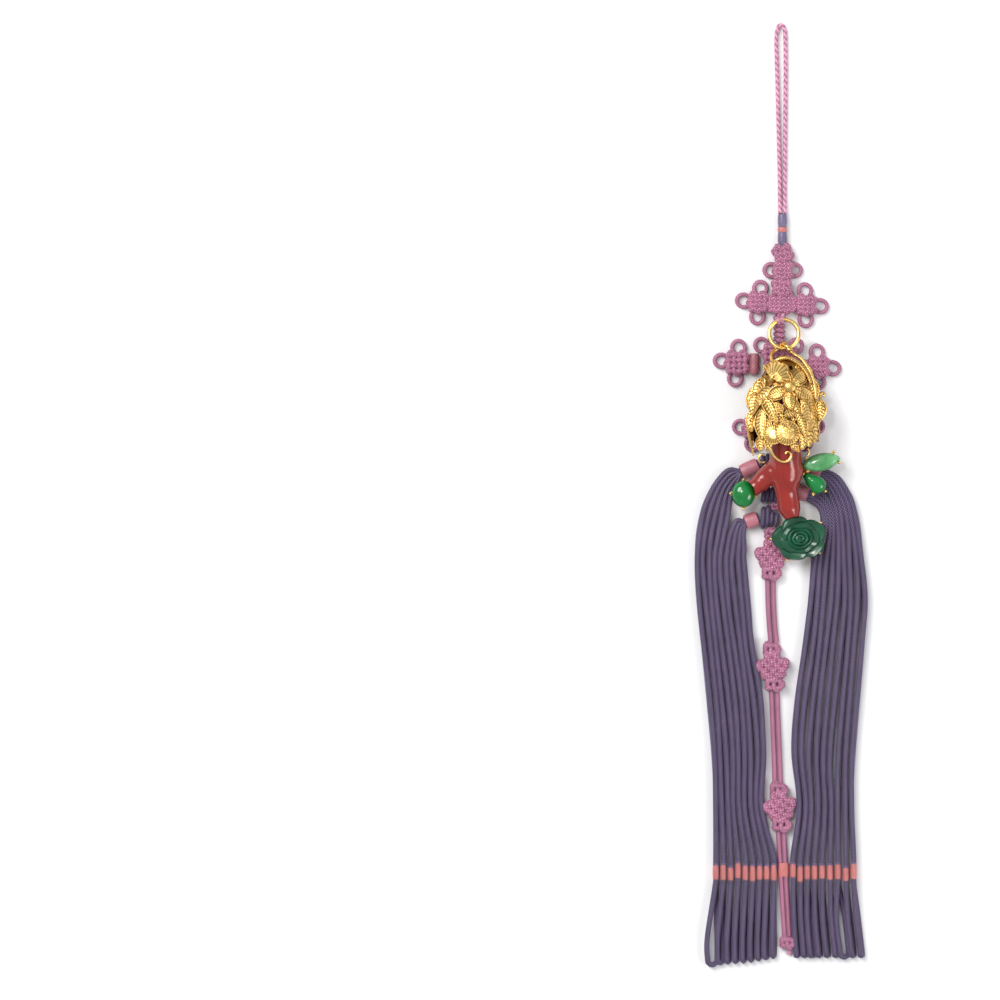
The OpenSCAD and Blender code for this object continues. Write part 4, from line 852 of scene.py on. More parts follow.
def make_head_knots():
    """The purple knots that hold the tassel, and the pink knot between them"""
    for name, rows in (("upper", UPPER_TURNS), ("middle", MIDDLE_TURNS), ("lower", LOWER_TURNS)):
        yarn = Yarn()
        for x, y, height, count in rows:
            for n in range(count):
                shift = 0.35 * math.sin(2.4 * n + x)
                upright_turn(yarn, AXIS + x + n * 1.9, SHOULDER_Y - y + shift,
                             height - abs(shift), 0.25)
        yarn.make(f"head_{name}_cord", "purple_silk", "purple_cord", f"head_knot_{name}")
    yarn = Yarn()
    woven_pad(yarn, AXIS - 2.8, SHOULDER_Y - 20.1, KNOT_Z, 4.2, 3.0, 2, 2, cord=1.4, thick=3.2)
    yarn.make("core_knot_cord", "pink_silk", "pink_cord", "core_knot")


# The centre drop

KNOT_PLACES = ((-4.7, 0.152), (-4.3, 0.194), (-3.9, 0.412), (-1.0, 0.687))
SMALL_REACH = 11.4 / 2 + 4.8 / 2 - 1.3
DROP_END = (AXIS + 1.9, SHOULDER_Y - 0.942 * TASSEL_LEN)
DROP_WRAP = (AXIS + 0.4, SHOULDER_Y - 0.81 * TASSEL_LEN)


def drop_knot_at(k):
    """Place of a knot of the centre drop"""
    return AXIS + KNOT_PLACES[k][0], SHOULDER_Y - KNOT_PLACES[k][1] * TASSEL_LEN


def drop_route(side):
    """One of the two cords of the drop, from the knot behind the cap to its end knot"""
    gap = (CORD_D + 0.1) / 2
    z = 1.2
    end = SMALL_REACH + 2.4
    top, one, two, three = (drop_knot_at(k) for k in range(4))
    out = [(top[0] + side * 0.5, top[1] - 1, z), (one[0] + side * 0.6, one[1], z),
           (one[0] - 0.4 + side * gap, one[1] - end, z)]
    for t in (0.2, 0.4, 0.6, 0.8, 1.0):
        x = one[0] + (two[0] - one[0]) * t - 0.5 + 0.9 * t - 0.3 * math.sin(math.pi * t)
        out.append((x + side * gap, one[1] - end + (two[1] - one[1] + 2 * end) * t, z))
    out.append((two[0] + side * 0.6, two[1], z))
    out.append((two[0] + 0.6 + side * gap, two[1] - end, z))
    for t in (0.2, 0.4, 0.6, 0.8, 1.0):
        x = two[0] + (three[0] - two[0]) * t + 0.6 - 1.4 * t
        out.append((x + side * gap, two[1] - end + (three[1] - two[1] + 2 * end) * t, z))
    out.append((three[0] + side * 0.6, three[1], z))
    for t in (0, 0.2, 0.32, 0.44, 0.72, 1):
        if t < 0.44:
            x = three[0] + 0.4 + (DROP_WRAP[0] - three[0] - 0.4) * t / 0.44
        else:
            x = DROP_WRAP[0] + (DROP_END[0] - DROP_WRAP[0]) * (t - 0.44) / 0.56
        out.append((x + side * (gap - 0.1), three[1] - end + (DROP_END[1] - three[1] + end) * t, z + 0.1))
    return out


def make_drop():
    """The doubled cord that hangs in the middle, with its knots, wrap and frayed end"""
    for name, side in (("left", -1), ("right", 1)):
        yarn = Yarn()
        path = yarn.tube(smooth_route(drop_route(side), 6), 2.15, sides=12, spacing=0.62,
                         depth=0.15, phase=side)
        nodes = ("drop_cord_1", "drop_cord_2", "drop_cord_3")
        piece = yarn.make(f"drop_cord_{name}", "pink_silk", "pink_cord", *nodes)
    x, y = drop_knot_at(0)
    yarn = Yarn()
    woven_pad(yarn, x, y, KNOT_Z, 5, 3.8, 2, 2, cord=1.8, thick=3.8)
    yarn.make("drop_top_knot_cord", "pink_silk", "pink_cord", "drop_knot_top")
    small = {1: ((-0.4, -1, 7, 3),), 2: ((-0.7, 1, 6.4, 3), (0.5, -1, 7, 3)),
             3: ((-0.8, 1, 6.4, 3), (0.4, -1, 7, 3))}
    for k, name in ((1, "upper"), (2, "middle"), (3, "lower")):
        x, y = drop_knot_at(k)
        yarn = Yarn()
        woven_pad(yarn, x, y, KNOT_Z, 10.2, 10.2, 4, 4, math.radians(40 + 5 * k), cord=2.3,
                  thick=KNOT_T + 0.3)
        for dx, way, w, runs in small[k]:
            woven_pad(yarn, x + dx, y + way * (SMALL_REACH + 0.2), KNOT_Z, w, 4.9, runs, 2,
                      thick=4.4)
        yarn.make(f"drop_{name}_knot_cord", "pink_silk", "pink_cord", f"drop_knot_{name}")
    pitch = bpy.context.scene.norigae_sizes.thread / MM
    x, y = DROP_WRAP
    yarn = Yarn()
    yarn.tube([(x, y + 2.8, 1.4), (x, y, 1.4), (x, y - 2.8, 1.4)], [4.5, 4.9, 4.9, 4.5],
              [2.6, 2.9, 2.9, 2.6], sides=20, spacing=pitch / 2, weave="ridge", depth=0.06,
              square=0.8)
    yarn.make("drop_wrap_thread", "coral_silk", "coral_thread", "drop_wrap")
    x, y = DROP_END[0], DROP_END[1] - 2.2
    yarn = Yarn()
    woven_pad(yarn, x, y, KNOT_Z - 0.3, 6, 4.3, 3, 2, thick=4)
    yarn.make("drop_end_knot_cord", "pink_silk", "pink_cord", "drop_end_knot")
    yarn = Yarn()
    for n in range(46):
        a = 2.4 * n
        r = 0.9 * math.sqrt((n + 0.5) / 46)
        px, pz = x + 0.9 + r * math.cos(a), 1.5 + r * math.sin(a)
        flare = 1 + 0.35 * math.sin(5.1 * n)
        py = y - 1.7
        yarn.tube([(px, py, pz), (px + r * 0.2 * math.cos(a), py - 1.4, pz),
                   (px + flare * 0.45 * math.cos(a), py - 2.7 - 0.5 * math.sin(3 * n),
                    max(pz + flare * 0.35 * math.sin(a), 0.2))],
                  [0.3, 0.26, 0.16], sides=5, spacing=0.5, weave="plain")
    yarn.make("drop_tuft_fibres", "pink_silk", "pink_cord", "drop_tuft")


# Coral and stones

# Balls along the coral: x from the cap's middle, share of its length below the mouth, height
# from the middle of the mouth, and radius as a share of the trunk's
TRUNK = ((0.8, -0.46, -0.6, 0.88), (0.8, -0.2, -0.9, 0.94), (0.6, 0.05, -1.6, 0.98),
         (0.4, 0.26, -2.2, 1.0), (0.9, 0.47, -2.8, 0.94), (0.5, 0.63, -4, 0.73),
         (1.1, 0.74, -4.4, 0.7), (2.2, 0.9, -4.6, 0.69), (2.6, 0.96, -4.6, 0.58))
BRANCH = ((-0.6, 0.36, -2.6, 0.8), (-6.2, 0.45, -3.8, 0.64), (-9.6, 0.56, -4.4, 0.58),
          (-11.8, 0.62, -4.6, 0.54))
STUB = ((-1, -0.42, -1.6, 0.6), (-6.4, -0.26, -2.2, 0.44), (-8.6, -0.05, -3, 0.36),
        (-9, 0.02, -3.2, 0.3))
KNEE = ((3.2, 0.4, -2.6, 0.7), (5.4, 0.4, -3, 0.36))
CORAL_LEN = 29.5
TRUNK_R = 6.6
LEAF_PLACE = (AXIS + 15.3, CAP_Y - 8.4, 9.0)
PEAR_PLACE = (AXIS + 13.7, CAP_Y - 17.4, 7.2)
OVAL_PLACE = (AXIS - 15.7, CAP_Y - 21.1, 6.6)
ROSE_PLACE = (AXIS + 6.7, CAP_Y - 38.8, 6.0)
PLATE = 0.9
ROSE_W = 22.6
ROSE_H = 18.6


def make_coral():
    """Balls along the branches, melted into one polished branch, with seats for two stones"""
    deselect()
    balls = []
    for rows in (TRUNK, BRANCH, STUB, KNEE):
        line = [(AXIS + 0.5 + x, CAP_Y - y * CORAL_LEN, CAP_Z + z, r * TRUNK_R) for x, y, z, r in rows]
        for a, b in zip(line, line[1:]):
            steps = max(int(math.dist(a[:3], b[:3]) / 1.6), 1)
            for n in range(steps + 1):
                t = n / steps
                x, y, z, r = (p + (q - p) * t for p, q in zip(a, b))
                bpy.ops.mesh.primitive_ico_sphere_add(
                    subdivisions=3, radius=r * MM, location=(x * MM, y * MM, z * MM))
                balls.append(bpy.context.object)
    piece = settle(join(balls, "coral_branch"))
    piece.data.remesh_voxel_size = 0.5 * MM
    select(piece)
    bpy.ops.object.voxel_remesh()
    apply_modifier(piece, "SMOOTH", factor=0.5, iterations=16)
    for v in piece.data.vertices:
        p = v.co / MM
        wave = math.sin(0.55 * p.y + 0.3 * p.x) * math.cos(0.7 * p.x + 0.4 * p.z)
        v.co += v.normal * 0.16 * MM * wave
    for (x, y, z), a, b in ((OVAL_PLACE, 4.5, 5.15), (ROSE_PLACE, 10.6, 8.75)):
        deselect()
        bpy.ops.mesh.primitive_cylinder_add(
            vertices=96, radius=1, depth=20 * MM, location=(x * MM, y * MM, (z + 9.95) * MM))
        cutter = bpy.context.object
        cutter.scale = (a * MM, b * MM, 1)
        settle(cutter)
        apply_modifier(piece, "BOOLEAN", operation="DIFFERENCE", solver="EXACT", object=cutter)
        bpy.data.objects.remove(cutter)
    select(piece)
    bpy.ops.object.shade_smooth_by_angle(angle=math.radians(50))
    dress(piece, "red_coral", "coral", "coral")


def raised(name, outline, profile, place, turn=0.0):
    """A solid drawn up from an outline through levels of (share of the outline, height)"""
    deselect()
    bpy.ops.mesh.primitive_circle_add(vertices=len(outline), radius=1, fill_type="NGON")
    piece = bpy.context.object
    for v, (x, y) in zip(piece.data.vertices, outline):
        v.co = (x * MM, y * MM, 0)
    bpy.ops.object.mode_set(mode="EDIT")
    bpy.ops.mesh.select_mode(type="FACE")
    bpy.ops.mesh.select_all(action="SELECT")
    share, height = 1.0, 0.0
    for next_share, next_height in profile:
        bpy.ops.mesh.extrude_region_move(
            TRANSFORM_OT_translate={"value": (0, 0, (next_height - height) * MM)})
        k = next_share / share
        bpy.ops.transform.resize(value=(k, k, 1), center_override=(0, 0, 0))
        share, height = next_share, next_height
    bpy.ops.mesh.poke()
    bpy.ops.mesh.select_all(action="SELECT")
    bpy.ops.mesh.normals_make_consistent(inside=False)
    bpy.ops.object.mode_set(mode="OBJECT")
    piece.name = name
    piece.data.name = name
    piece.rotation_euler = (0, 0, turn)
    piece.location = Vector(place) * MM
    settle(piece)
    select(piece)
    bpy.ops.object.shade_smooth_by_angle(angle=math.radians(38))
    return piece


def dome_profile(height, rim, count=9, flat=1.0):
    """Levels of a polished dome on a short upright girdle"""
    levels = [(1.0, rim)]
    for n in range(1, count + 1):
        a = math.pi / 2 * n / (count + 0.6)
        levels.append((math.cos(a) ** flat, rim + (height - rim) * math.sin(a)))
    return levels


def make_stones():
    """Cabochon, pear and leaf stone"""
    turns = [2 * math.pi * i / 64 for i in range(64)]
    oval = [(4.65 * math.cos(a), 5.3 * math.sin(a)) for a in turns]
    piece = raised("cabochon_stone", oval, [(1.02, 0.35)] + dome_profile(4.2, 0.9, 11, 0.9),
                   (OVAL_PLACE[0], OVAL_PLACE[1], OVAL_PLACE[2] + PLATE))
    dress(piece, "polished_green", "green_jade", "cabochon")
    swell = [((1 + math.cos(a)) / 2) for a in turns]
    pear = [(3.7 * math.cos(a) + 3.0 * s ** 3, 3.7 * math.sin(a) * (1 - 0.35 * s ** 2))
            for a, s in zip(turns, swell)]
    piece = raised("pear_jade", pear, [(1.02, 0.35)] + dome_profile(3.8, 0.9, 10, 0.85),
                   (PEAR_PLACE[0], PEAR_PLACE[1], PEAR_PLACE[2] + PLATE), math.radians(142))
    dress(piece, "polished_green", "green_jade", "pear_stone")
    leaf = [(7.6 * math.cos(a), 3.5 * math.sin(a) * abs(math.sin(a)) ** 0.35) for a in turns]
    piece = raised("leaf_jade", leaf, [(1.02, 0.3), (1.0, 0.9), (0.9, 1.9), (0.8, 2.5), (0.76, 2.6),
                                       (0.6, 2.85), (0.4, 3.05), (0.2, 3.15)],
                   (LEAF_PLACE[0], LEAF_PLACE[1], LEAF_PLACE[2] + PLATE), math.radians(12))
    dress(piece, "polished_pale", "pale_jade", "leaf_stone")


# Petals of the rose: degrees round, distance of the base and of the lip from the middle,
# half angle, height of the base and of the lip above the plate, row. For each row, the share
# by which a petal's ends stand back, the rise of its lip and its thickness
ROSE_NOTCH = (0.3, 0.22, 0.12, 0.05)
ROSE_LIP = (0.85, 0.75, 0.6, 0.4)
ROSE_SHEET = (1.4, 1.1, 0.9, 0.8)
PETALS = (
    (106, 3.0, 11.0, 44, 2.6, 1.7, 0), (178, 3.0, 11.3, 43, 2.5, 1.6, 0), (248, 3.0, 11.2, 43, 2.4, 1.5, 0),
    (318, 3.0, 11.0, 45, 2.5, 1.6, 0), (34, 3.0, 11.2, 43, 2.7, 1.7, 0),
    (70, 2.2, 8.2, 46, 3.1, 3.0, 1), (142, 2.2, 7.6, 47, 3.2, 3.1, 1), (212, 2.2, 8.3, 46, 3.0, 2.9, 1),
    (283, 2.2, 7.6, 47, 3.1, 3.0, 1), (356, 2.2, 7.9, 46, 3.2, 3.1, 1),
    (15, 1.4, 5.3, 66, 3.5, 4.0, 2), (134, 1.4, 5.0, 68, 3.5, 4.1, 2), (255, 1.4, 5.2, 66, 3.5, 4.0, 2),
    (75, 0.9, 3.5, 72, 4.0, 4.7, 2), (198, 0.9, 3.3, 74, 4.0, 4.8, 2), (318, 0.9, 3.4, 72, 4.0, 4.7, 2),
    (20, 0.5, 1.9, 95, 4.4, 5.2, 3), (195, 0.5, 1.8, 98, 4.4, 5.3, 3),
)


def petal(turn, inner, outer, spread, low, high, kind):
    """One carved petal: a sector whose lip stands up and whose one side lies over its neighbour"""
    deselect()
    bpy.ops.mesh.primitive_grid_add(x_subdivisions=20, y_subdivisions=12, size=2)
    piece = bpy.context.object
    squeeze = ROSE_H / ROSE_W
    notch = ROSE_NOTCH[kind]
    for v in piece.data.vertices:
        u, t = v.co.x, (v.co.y + 1) / 2
        reach = inner + (outer - inner) * t * (1 - notch * abs(u) ** 2.2 + 0.02 * math.sin(7 * u + turn))
        a = math.radians(turn + u * spread * (0.8 + 0.2 * t))
        lip = ROSE_LIP[kind] * max(t - 0.62, 0) ** 2 / 0.1444
        hollow = -0.35 * math.sin(math.pi * min(t / 0.75, 1))
        z = low + (high - low) * t + lip + hollow + (0.42 if kind < 2 else 0.3) * u * t
        v.co = Vector((reach * math.cos(a), reach * math.sin(a) * squeeze, z)) * MM
    apply_modifier(piece, "SOLIDIFY", thickness=ROSE_SHEET[kind] * MM, offset=-1,
                   use_even_offset=False)
    apply_modifier(piece, "BEVEL", width=0.2 * MM, segments=2, limit_method="ANGLE",
                   angle_limit=math.radians(50))
    return piece


def make_rose():
    """The carved jade rose: a whorl of petals on a solid heart"""
    petals = [petal(*row) for row in PETALS]
    for piece in petals:
        piece.location = Vector((ROSE_PLACE[0], ROSE_PLACE[1], ROSE_PLACE[2] + PLATE)) * MM
        settle(piece)
    turns = [2 * math.pi * i / 40 for i in range(40)]
    heart = [(6.9 * math.cos(a), 5.8 * math.sin(a)) for a in turns]
    base = raised("rose_heart", heart, [(1.04, 0.6), (1.0, 1.6), (0.86, 2.6), (0.6, 3.3), (0.3, 4.0)],
                  (ROSE_PLACE[0], ROSE_PLACE[1], ROSE_PLACE[2] + PLATE))
    bud = [(0.9 * math.cos(a), 0.75 * math.sin(a)) for a in turns]
    tip = raised("rose_bud", bud, [(1.1, 1.0), (0.95, 1.7), (0.6, 2.1), (0.25, 2.25)],
                 (ROSE_PLACE[0] + 0.1, ROSE_PLACE[1], ROSE_PLACE[2] + PLATE + 3.0))
    piece = join([base, tip] + petals, "rose_petals")
    select(piece)
    bpy.ops.object.mode_set(mode="EDIT")
    bpy.ops.mesh.select_all(action="SELECT")
    bpy.ops.mesh.normals_make_consistent(inside=False)
    bpy.ops.object.mode_set(mode="OBJECT")
    bpy.ops.object.shade_smooth_by_angle(angle=math.radians(42))
    dress(piece, "carved_green", "dark_jade", "rose")


# The gold cap

CAP_PROFILE = ((0, 1), (0.2, 0.975), (0.4, 0.9), (0.58, 0.8), (0.76, 0.65), (0.9, 0.45), (1, 0.14))


def cap_share(t):
    """Width of the cap along its length, as a share of its mouth"""
    rows = CAP_PROFILE
    return float(np.interp(t, [r[0] for r in rows], [r[1] for r in rows]))


def lean(x, y, z):
    """From the cap's own frame to the part's"""
    c, s = math.cos(CAP_LEAN), math.sin(CAP_LEAN)
    return (AXIS + 0.5 + x, CAP_Y + y * c + z * s, CAP_Z - y * s + z * c)


def cap_top(x, y, least=0.18):
    """Height of the cap's front over a point of the plan view"""
    u = x - AXIS - 0.5
    z = 6.0
    c, s = math.cos(CAP_LEAN), math.sin(CAP_LEAN)
    v = 0.0
    for _ in range(8):
        v = (y - CAP_Y - z * s) / c
        r = CAP_R * cap_share(min(max(v / CAP_LEN, 0), 1))
        side = max(1 - (u / r) ** 2, least ** 2) if r > 0 else least ** 2
        z = CAP_R * CAP_FLAT * cap_share(min(max(v / CAP_LEN, 0), 1)) * math.sqrt(side)
    return CAP_Z - v * s + z * c


def spot(px, py):
    """From the places that the ornaments are laid out on, 0.12 mm apart, to millimetres"""
    return 0.8 + (px - 392) * 0.12, 102.15 - (py - 115) * 0.12


def ball(gold, centre, r, sides=8, rows=5):
    """A small ball of gold"""
    points, faces = [], []
    points.append((centre[0], centre[1], centre[2] + r))
    for i in range(1, rows):
        a = math.pi * i / rows
        for j in range(sides):
            b = 2 * math.pi * j / sides
            points.append((centre[0] + r * math.sin(a) * math.cos(b),
                           centre[1] + r * math.sin(a) * math.sin(b), centre[2] + r * math.cos(a)))
    points.append((centre[0], centre[1], centre[2] - r))
    last = len(points) - 1
    for j in range(sides):
        k = (j + 1) % sides
        faces.append((0, 1 + j, 1 + k))
        for i in range(rows - 2):
            a, b = 1 + i * sides, 1 + (i + 1) * sides
            faces.append((a + j, b + j, b + k, a + k))
        a = 1 + (rows - 2) * sides
        faces.append((last, a + k, a + j))
    gold.add(points, faces, [1.0] * len(points))


def relief(gold, rows, thickness):
    """A closed plate from a grid of top points, each with its rise, and its own underside"""
    n, m = len(rows), len(rows[0])
    top = [p for row in rows for p in row]
    points = [p[:3] for p in top] + [(p[0], p[1], p[2] - thickness) for p in top]
    rise = [p[3] for p in top] + [1.0] * len(top)
    faces = []
    for i in range(n - 1):
        for j in range(m - 1):
            a, b, c, d = i * m + j, i * m + j + 1, (i + 1) * m + j + 1, (i + 1) * m + j
            faces.append((a, b, c, d))
            faces.append((a + n * m, d + n * m, c + n * m, b + n * m))
    edge = ([j for j in range(m)] + [i * m + m - 1 for i in range(1, n)]
            + [(n - 1) * m + j for j in range(m - 2, -1, -1)] + [i * m for i in range(n - 2, 0, -1)])
    for a, b in zip(edge, edge[1:] + edge[:1]):
        faces.append((b, a, a + n * m, b + n * m))
    gold.add(points, faces, rise)


def blade(gold, line, widths, lift=0.5, lines=8, rope=0.7, crown=0.3, steps=34, across=13):
    """A chased leaf over the cap: midrib, oblique lines and a rope edge"""
    centre = smooth_route([(*spot(x, y), 0) for x, y in line], 10)
    centre = evenly(centre, max(route_length(centre) / steps, 0.1))
    n = len(centre)
    along = np.gradient(centre, axis=0)
    along /= np.linalg.norm(along, axis=1)[:, None]
    half = np.interp(np.linspace(0, 1, n), np.linspace(0, 1, len(widths)), widths) * 0.06
    rows, left, right = [], [], []
    for i in range(n):
        row = []
        nx, ny = -along[i][1], along[i][0]
        for j in range(across):
            u = 1 - 2 * j / (across - 1)
            x = centre[i][0] + nx * u * half[i]
            y = centre[i][1] + ny * u * half[i]
            groove = math.cos(2 * math.pi * (0.72 * lines * i / n - 0.9 * abs(u)))
            # Painted shade: the grooves and the edge under the rope are marked for the darker gold
            relief_shade = 0.0 if abs(u) > 0.8 else 1.0 if groove > -0.45 else 0.05
            rib = 0.3 * math.exp(-(u / 0.12) ** 2)
            z = cap_top(x, y) + lift + crown * (1 - u * u) + rib - (0 if relief_shade > 0.5 else 0.17)
            row.append((x, y, z, relief_shade))
        rows.append(row)
        left.append((row[0][0], row[0][1], row[0][2]))
        right.append((row[-1][0], row[-1][1], row[-1][2]))
    relief(gold, rows, 0.9 + lift * 0.6)
    if rope:
        border = left + [(centre[-1][0] + along[-1][0] * 0.2, centre[-1][1] + along[-1][1] * 0.2,
                          rows[-1][across // 2][2])] + right[::-1]
        border = [(x, y, z + 0.12) for x, y, z in border]
        gold.tube(border, rope, sides=8, spacing=0.24, weave="ply", depth=0.3, period=0.8)


def petal_blade(gold, cx, cy, px, py, width, lift, lines=5):
    """A petal from near a flower's middle to its rim, veined and edged"""
    dx, dy = px - cx, py - cy
    line = [(cx + dx * 0.35, cy + dy * 0.35), (px, py), (cx + dx * 1.5, cy + dy * 1.5)]
    blade(gold, line, (width * 0.5, width * 0.9, width, width * 0.8, width * 0.25), lift,
          lines, 0.5, 0.45, 30, 13)


def fruit(gold, px, py, radius, lift, rings=True):
    """A seed disc: domed, with rays in its outer third, a rope rim and small rings"""
    cx, cy = spot(px, py)
    r = radius * 0.12
    n, m = 12, 48

    def level(x, y, q):
        bed = cap_top(x, y) * 0.6 + cap_top(cx, cy) * 0.4
        return bed + lift + 0.6 + 0.5 * (1 - q ** 2.4)

    centre_z = cap_top(cx, cy) + lift + 1.1
    points, rise, faces = [(cx, cy, centre_z)], [1.0], []
    for i in range(1, n + 1):
        q = i / n
        for j in range(m):
            a = 2 * math.pi * j / m
            x, y = cx + r * q * math.cos(a), cy + r * q * math.sin(a)
            # Painted shade: the grooves of the rays are marked for the darker gold
            ray = q > 0.58 and j % 2 == 0
            points.append((x, y, level(x, y, q) - (0.24 if ray else 0)))
            rise.append(0.0 if ray else 1.0)
    base = len(points)
    for j in range(m):
        a = 2 * math.pi * j / m
        x, y = cx + r * math.cos(a), cy + r * math.sin(a)
        points.append((x, y, points[1 + (n - 1) * m + j][2] - 1.4 - lift * 0.5))
        rise.append(1.0)
    for j in range(m):
        k = (j + 1) % m
        faces.append((0, 1 + j, 1 + k))
        for i in range(n - 1):
            a, b = 1 + i * m, 1 + (i + 1) * m
            faces.append((a + j, b + j, b + k, a + k))
        a = 1 + (n - 1) * m
        faces.append((a + j, base + j, base + k, a + k))
    faces.append(tuple(base + j for j in reversed(range(m))))
    gold.add(points, faces, rise)
    rim = [points[1 + (n - 1) * m + j] for j in range(m)]
    gold.tube([(x, y, z + 0.1) for x, y, z in rim], 0.72, sides=8, spacing=0.26, weave="ply",
              depth=0.3, period=0.85, closed=True)
    if rings:
        for k in range(10):
            a, q = 0.4 + 0.28 * math.pi * (k % 5) / 1.0, 0.22 + 0.26 * (k // 5)
            x, y = cx + r * q * math.cos(a * 1.1), cy + r * q * math.sin(a * 1.1) + 0.3
            gold.tube(ring_route(x, y, level(x, y, q) + 0.05, 0.42, 10), 0.32, sides=6,
                      spacing=0.22, weave="plain",
                      closed=True)


# Long leaves: places of the midrib and widths along it, lift, number of chased lines
LEAVES = (
    (((290, 292), (284, 330), (286, 372)), (10, 28, 36, 28, 10), 0.1, 8),
    (((326, 262), (306, 290), (292, 318)), (12, 30, 34, 26, 8), 0.2, 8),
    (((346, 292), (322, 318), (298, 348)), (12, 32, 36, 28, 8), 0.6, 9),
    (((283, 372), (278, 400), (284, 436)), (10, 22, 26, 20, 6), 0.1, 8),
    (((332, 452), (338, 474), (334, 498)), (12, 24, 26, 18, 5), 0.5, 6),
    (((312, 456), (309, 480), (313, 502)), (12, 22, 24, 16, 5), 0.7, 7),
    (((312, 312), (292, 344), (288, 380)), (12, 34, 40, 28, 8), 0.8, 10),
    (((318, 366), (311, 412), (315, 462)), (14, 34, 36, 26, 8), 1.3, 12),
    (((323, 324), (344, 362), (367, 408)), (16, 36, 38, 28, 7), 1.7, 12),
    (((416, 330), (434, 366), (442, 404)), (12, 26, 30, 24, 8), 0.7, 10),
    (((430, 220), (462, 232), (484, 262)), (10, 28, 34, 28, 8), 0.2, 9),
    (((478, 262), (492, 292), (497, 332)), (12, 28, 32, 26, 8), 0.3, 10),
    (((486, 330), (500, 372), (500, 420)), (12, 26, 30, 24, 8), 0.4, 11),
    (((470, 324), (486, 366), (488, 416)), (12, 28, 30, 24, 8), 0.8, 12),
    (((452, 332), (468, 376), (470, 432)), (12, 26, 30, 26, 8), 1.2, 14),
    (((432, 372), (450, 404), (462, 452)), (12, 26, 30, 26, 8), 1.5, 12),
    (((480, 404), (494, 436), (492, 472)), (12, 26, 30, 22, 6), 0.6, 8),
    (((462, 420), (476, 448), (472, 486)), (12, 26, 28, 22, 6), 1.0, 8),
    (((442, 440), (454, 464), (450, 496)), (12, 24, 28, 20, 6), 0.8, 7),
    (((420, 470), (426, 488), (438, 504)), (10, 22, 24, 14, 5), 0.4, 5),
    (((342, 398), (334, 420), (330, 446)), (10, 24, 26, 20, 6), 0.9, 7),
    (((436, 350), (420, 372), (424, 404)), (10, 22, 26, 20, 6), 0.6, 7),
)


def make_cap_shell():
    """The pierced shell of the cap: a sheet wrapped round, with its gaps cut and walls drawn in"""
    deselect()
    bpy.ops.mesh.primitive_grid_add(x_subdivisions=150, y_subdivisions=75, size=2)
    piece = bpy.context.object
    mesh = bmesh.new()
    mesh.from_mesh(piece.data)
    gaps = []
    for face in mesh.faces:
        c = face.calc_center_median()
        a, t = c.x * 180, (c.y + 1) / 2
        cell_a = ((a + 400) % 24 - 12) / 12
        row = int((a + 400) // 24)
        cell_t = ((t + (0.06 if row % 2 else 0)) % 0.12 - 0.06) / 0.06
        open_side = -78 < a < -40 and t < 0.26
        if (cell_a ** 2 + cell_t ** 2 < 0.2 and 0.06 < t < 0.86) or open_side:
            gaps.append(face)
    bmesh.ops.delete(mesh, geom=gaps, context="FACES")
    rims = [v for v in mesh.verts if v.is_boundary and abs(v.co.x) < 0.99 and abs(v.co.y) < 0.99]
    for _ in range(5):
        bmesh.ops.smooth_vert(mesh, verts=rims, factor=0.5, use_axis_x=True, use_axis_y=True,
                              use_axis_z=True)
    for v in mesh.verts:
        a, t = math.radians(v.co.x * 180), (v.co.y + 1) / 2
        r = CAP_R * cap_share(t) * (1.0 if t < 0.999 else 0.3)
        v.co = Vector(lean(r * math.sin(a), CAP_LEN * t, r * CAP_FLAT * math.cos(a))) * MM
    bmesh.ops.remove_doubles(mesh, verts=mesh.verts, dist=0.02 * MM)
    bmesh.ops.recalc_face_normals(mesh, faces=mesh.faces)
    mesh.to_mesh(piece.data)
    mesh.free()
    piece.name = piece.data.name = "cap_shell"
    apply_modifier(piece, "SOLIDIFY", thickness=1.1 * MM, offset=-1)
    select(piece)
    bpy.ops.object.shade_smooth_by_angle(angle=math.radians(40))
    # Painted shade: the whole shell, which lies under the leaves, takes the darker gold
    shade = piece.data.attributes.new("relief_shade", "FLOAT", "POINT")
    shade.data.foreach_set("value", [0.8] * len(piece.data.vertices))
    dress(piece, "cast_gold", "gold", "cap")


BAIL_ROUTE = ((-4.6, -11.6, 12.5), (-5.2, -9.2, 9.6), (-4.6, -7.4, 7.3), (-3.2, -6.1, 6.3),
              (-1.6, -5.0, 6.3), (-0.5, -3.9, 7.4), (0.2, -3.9, 9.4), (1.2, -5.4, 10.6),
              (3.2, -7.6, 10.8), (7.2, -10.4, 11.4), (10.6, -16, 13), (12.2, -22, 14.6),
              (12.4, -26, 15.2))
ARCH_ROUTE = ((-5.6, -14.5, 13.5), (-4.2, -11.2, 14.4), (0.4, -9.6, 14.8), (5.2, -11.6, 14.8),
              (8.6, -15.4, 15.6), (10.4, -19.6, 16.4))
TWIG_ROUTE = ((-12.6, -32, 15.4), (-14.4, -36, 15.4), (-14.2, -40, 15.0), (-13.0, -45, 14.4),
              (-12.4, -48.6, 14.0))
TENDRIL_ROUTE = ((-7.2, 2.6, 7.2), (-6.9, 0.4, 6.4), (-5.4, -4.0, 5.6), (-3.4, -6.9, 5.4),
                 (-1.0, -8.2, 5.4), (1.1, -7.9, 5.4), (2.4, -6.2, 5.4), (2.1, -4.6, 5.4),
                 (0.8, -4.3, 5.4), (0.1, -5.2, 5.4))


# Low twig at the left: places it is laid out on, and heights
BRANCH_SPOTS = ((270, 424, 13.6), (280, 440, 13.8), (288, 460, 13.6), (290, 482, 13.2))


